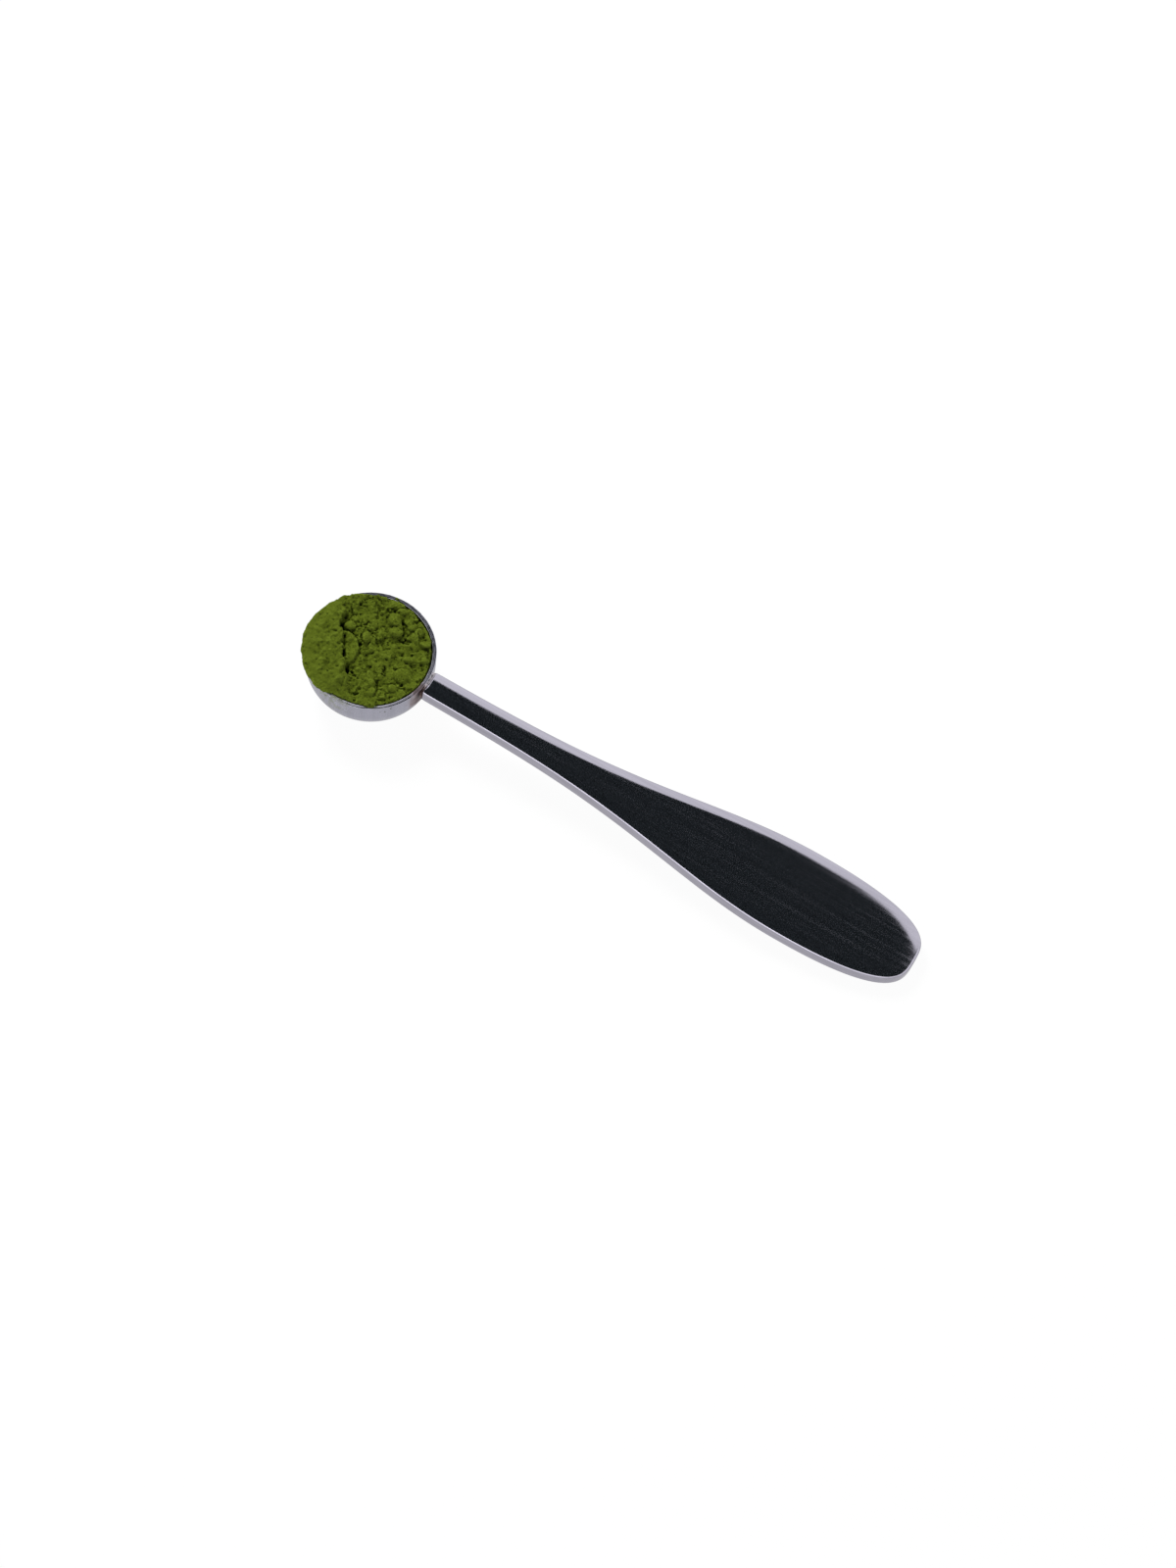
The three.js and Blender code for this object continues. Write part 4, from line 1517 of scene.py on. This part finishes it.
    def build(self, finish: Material) -> Piece:
        """Shapes the powder: bed and clumps grown into one skin, then roughened.

        Args:
            finish: Material of the powder.

        Returns:
            The powder.
        """
        heap = self.bed()
        tree = self.relief_tree()
        self.grow_skin(heap)
        rim = self.cup_height
        run_tree(heap, tree, **FIRST_RELIEF, Rim_height=rim, Material=finish)
        clumps = Crumbs(knobs=self.clump_knobs).strew("clumps", self.lumps(), finish)
        joined = bmesh.new()
        joined.from_mesh(heap.data)
        joined.from_mesh(clumps.data)
        joined.to_mesh(heap.data)
        joined.free()
        bpy.data.objects.remove(clumps)
        self.grow_skin(heap)
        run_tree(heap, tree, **LAST_RELIEF, Rim_height=rim, Material=finish)
        self.thin_underside(heap)
        heap.data.transform(Matrix.Scale(MM, 4))
        return heap

    def thin_underside(self, piece: Piece) -> None:
        """Gives the smooth underside, which the cup hides, fewer and larger faces."""
        under = piece.vertex_groups.new(name="underside")
        level = self.cup_height - self.thinned_below_rim
        under.add([v.index for v in piece.data.vertices if v.co.z < level], 1.0, "REPLACE")
        thinner = piece.modifiers.new("thin underside", "DECIMATE")
        thinner.ratio = self.kept_share
        thinner.vertex_group = under.name
        thinner.vertex_group_factor = 10.0
        keep_result(piece)
        piece.vertex_groups.clear()

    def grow_skin(self, piece: Piece) -> None:
        """Grows one even skin over everything in a piece."""
        skin = piece.modifiers.new("skin", "REMESH")
        skin.mode = "VOXEL"
        skin.voxel_size = self.voxel
        skin.use_smooth_shade = True
        keep_result(piece)

    def rim_crumbs(self, finish: Material) -> Piece:
        """Grains left on the rim and on the wall below it.

        Args:
            finish: Material of the grains.

        Returns:
            The grains as one piece.
        """
        middle = self.cup_radius - self.cup_wall / 2
        grains = [(x, y, self.cup_height + lift, size) for x, y, lift, size in self.far_grains]
        for _ in range(self.rim_grain_count):
            angle = self.draw(self.rim_grain_turn)
            r = middle + 0.7 * self.cup_wall * (self.chance.rand() - 0.6)
            size = self.draw(self.rim_grain_size, 2.0)
            grains.append((*polar(r, angle), self.cup_height + 0.3 * size, size))
        start, reach = self.wall_grain_drop
        for middle_angle, stray, count in self.wall_grains:
            for _ in range(count):
                angle = middle_angle + stray * self.chance.randn()
                size = self.draw(self.wall_grain_size, 2.0)
                z = self.cup_height - start - reach * self.chance.rand() ** 1.5
                grains.append((*polar(self.cup_radius + 0.2 * size, angle), z, size))
        crumbs = Crumbs(seed=5, knobs=0.5, facets=1).strew("rim_crumbs", grains, finish)
        crumbs.data.transform(Matrix.Scale(MM, 4))
        return crumbs


@dataclass(frozen=True)
class SoftLamp:
    """Rectangular lamp with soft edges to its shadows."""

    name: str
    place: Point
    size: Pair
    power: float
    aim: Point = (0.04, 0.0, 0.0)
    mirrored: bool = False


@dataclass
class Studio:
    """Pale floor, white surroundings, a dark card overhead, soft lamps and the camera."""

    floor_size: float = 6.0
    floor_below: float = 0.03 * MM
    floor_colour: Colour = (0.80, 0.80, 0.80)
    seen_colour: Colour = (0.07, 0.07, 0.07)
    seen_glow: float = 0.94
    mirrored_glow: float = 0.585
    world_level: float = 0.95
    card_height: float = 1.25
    card_outline: tuple[Pair, ...] = (
        (-1.3, -1.0), (-1.3, 0.85), (0.14, 0.85), (0.22, 0.76), (0.46, 0.60), (1.3, 0.05), (1.3, -1.0),
    )
    card_colour: Colour = (0.029, 0.036, 0.037)
    aim: Point = (44.33 * MM, -2.92 * MM, 9.6 * MM)
    yaw: float = 21.726
    rise: float = 64.057
    roll: float = -8.437
    distance: float = 830.4 * MM
    lens: float = 112.5
    sensor: float = 36.0
    sight_range: Pair = (0.01, 20.0)

    def lay_sheet(self, name: str, corners: list[Point], finish: Material) -> None:
        """Adds a flat sheet to the stage.

        Args:
            name: Name of the object.
            corners: Its corners in order.
            finish: Material of the sheet.
        """
        mesh = bpy.data.meshes.new(name)
        mesh.from_pydata(corners, [], [range(len(corners))])
        mesh.materials.append(finish)
        made = bpy.data.objects.new(name, mesh)
        bpy.context.scene.collection.objects.link(made)

    def floor(self) -> None:
        """Pale floor that shows white and keeps the object's shadow."""
        material, sheet, shader = new_material("pale floor")
        path = sheet.add("ShaderNodeLightPath").outputs
        seen = sheet.math("MAXIMUM", path["Is Camera Ray"], path["Is Transmission Ray"])
        shown = sheet.math("MAXIMUM", seen, path["Is Glossy Ray"])
        colour = sheet.mix(shown, (*self.floor_colour, 1.0), (*self.seen_colour, 1.0))
        glow = sheet.times(path["Is Glossy Ray"], self.mirrored_glow)
        glow = sheet.math("MAXIMUM", glow, sheet.times(seen, self.seen_glow))
        sheet.fill(shader, {"Base Color": colour, "Roughness": 0.9, "Specular IOR Level": 0.0})
        sheet.fill(shader, {"Emission Color": WHITE, "Emission Strength": glow})
        half, low = self.floor_size / 2, -self.floor_below
        corners = ((-half, -half), (half, -half), (half, half), (-half, half))
        self.lay_sheet("floor", [(x, y, low) for x, y in corners], material)

    def card(self) -> None:
        """Dark card above the camera, which the polished top of the handle mirrors."""
        material, sheet, shader = new_material("dark card")
        colour = (*self.card_colour, 1.0)
        sheet.fill(shader, {"Base Color": colour, "Roughness": 1.0, "Specular IOR Level": 0.0})
        self.lay_sheet("dark_card", [(x, y, self.card_height) for x, y in self.card_outline], material)

    def world(self) -> None:
        """Even white surroundings."""
        world = bpy.data.worlds.new("white surroundings")
        world.use_nodes = True
        sheet = NodeSheet(world.node_tree)
        shader = world.node_tree.nodes["Background"]
        seen = sheet.add("ShaderNodeLightPath").outputs["Is Camera Ray"]
        level = sheet.math("MULTIPLY_ADD", seen, 1.0 - self.world_level, self.world_level)
        sheet.fill(shader, {"Color": WHITE, "Strength": level})
        bpy.context.scene.world = world

    def lamps(self) -> None:
        """Soft lamps, each turned to the spoon; the panels only show in the steel."""
        for lamp in (KEY_LAMP, FRONT_PANEL, FRONT_STRIP, LEFT_PANEL):
            light = bpy.data.lights.new(lamp.name, "AREA")
            light.shape = "RECTANGLE"
            light.size, light.size_y = lamp.size
            light.energy = lamp.power
            made = bpy.data.objects.new(lamp.name, light)
            made.location = lamp.place
            sight = Vector(lamp.aim) - Vector(lamp.place)
            made.rotation_euler = sight.to_track_quat("-Z", "Y").to_euler()
            made.visible_camera = False
            made.visible_diffuse = not lamp.mirrored
            made.visible_glossy = lamp.mirrored
            bpy.context.scene.collection.objects.link(made)

    def camera(self) -> None:
        """Camera at the photograph's viewing angle and distance."""
        yaw, rise, roll = (math.radians(a) for a in (self.yaw, self.rise, self.roll))
        right = Vector((math.cos(yaw), math.sin(yaw), 0.0))
        up = Vector((-math.sin(rise) * math.sin(yaw), math.sin(rise) * math.cos(yaw), math.cos(rise)))
        back = right.cross(up)
        turned_right = right * math.cos(roll) - up * math.sin(roll)
        turned_up = right * math.sin(roll) + up * math.cos(roll)
        turn = Matrix((turned_right, turned_up, back)).transposed()
        lens = bpy.data.cameras.new("camera")
        lens.lens = self.lens
        lens.sensor_width = self.sensor
        lens.clip_start, lens.clip_end = self.sight_range
        made = bpy.data.objects.new("camera", lens)
        made.matrix_world = Matrix.Translation(Vector(self.aim) + back * self.distance) @ turn.to_4x4()
        bpy.context.scene.collection.objects.link(made)
        bpy.context.scene.camera = made

    def build(self) -> None:
        """Sets up the whole studio and the plain view transform."""
        bpy.context.scene.view_settings.view_transform = "Standard"
        self.floor()
        self.card()
        self.world()
        self.lamps()
        self.camera()


CUP_STEEL = SteelFinish(
    name="cup steel",
    grain=Grain.DRAWN,
    colour=(0.535, 0.53, 0.625),
    roughness=(0.18, 0.34),
    stretch=(4200.0, 4200.0, 260.0),
    line_depth=0.0018 * MM,
    tint_centre=(11.0 * MM, -2.5 * MM, 7.6 * MM),
    tint_stretch=(1.0, 1.0, 0.6),
    tint_reach=3.0 * MM,
    dust_centre=(-1.6 * MM, -11.0 * MM, 9.0 * MM),
    dust_reach=5.5 * MM,
    dust_thickness=0.85,
    rim_height=CUP_HEIGHT * MM,
    rim_middle=(CUP_RADIUS - CUP_WALL / 2) * MM,
)
HANDLE_STEEL = SteelFinish(
    name="handle steel",
    grain=Grain.LENGTHWISE,
    colour=(0.535, 0.515, 0.605),
    roughness=(0.08, 0.22),
    stretch=(40.0, 6000.0, 6000.0),
    line_depth=0.0006 * MM,
    tint_centre=(11.3 * MM, 0.0, 7.4 * MM),
    tint_stretch=(1.0, 0.0, 0.0),
    tint_reach=0.3 * MM,
    lean=Handle().droop,
)
WELD_METAL = SteelFinish(
    name="weld metal",
    grain=Grain.CAST,
    colour=(0.62, 0.58, 0.60),
    roughness=(0.4, 0.55),
    stretch=(2600.0, 2600.0, 2600.0),
    line_depth=0.02 * MM,
    tint_centre=(11.3 * MM, -2.2 * MM, 8.4 * MM),
    tint_stretch=(1.0, 0.9, 0.6),
    tint_reach=1.5 * MM,
)
KEY_LAMP = SoftLamp("soft_lamp", (-0.42, 0.30, 0.52), (0.26, 0.26), 4.4)
FRONT_PANEL = SoftLamp("front_panel", (-0.20, -1.0, 0.55), (3.4, 1.1), 3.3, mirrored=True)
FRONT_STRIP = SoftLamp("front_strip", (-0.35, -1.0, 1.1), (1.5, 0.2), 1.8, mirrored=True)
LEFT_PANEL = SoftLamp("left_panel", (-0.80, 0.42, 0.44), (0.6, 0.4), 0.5, mirrored=True)
POWDER = PowderFinish(name="green powder", relief_name="relief")
GRAINS = PowderFinish(name="loose green powder")


def main() -> None:
    """Builds the studio and each piece of the spoon, and reports them."""
    logging.basicConfig(level=logging.INFO, format="%(name)s: %(message)s")
    Studio().build()
    effects = Effects()
    cup, handle, powder = Cup(), Handle(), MatchaPowder()
    hand_over(cup.build(CUP_STEEL.make(effects)), Body.SPOON, Slot.CUP_STEEL, "cup")
    hand_over(handle.build(HANDLE_STEEL.make(effects)), Body.SPOON, Slot.HANDLE_STEEL, "handle")
    seam = WeldSeam().build(cup, handle, WELD_METAL.make(effects))
    hand_over(seam, Body.SPOON, Slot.WELD_METAL, "weld_seam")
    heap = powder.build(POWDER.make(effects))
    hand_over(heap, Body.POWDER, Slot.GREEN_POWDER, "matcha_powder")
    hand_over(powder.rim_crumbs(GRAINS.make(effects)), Body.SPOON, Slot.GREEN_POWDER)


if __name__ == "__main__":
    main()
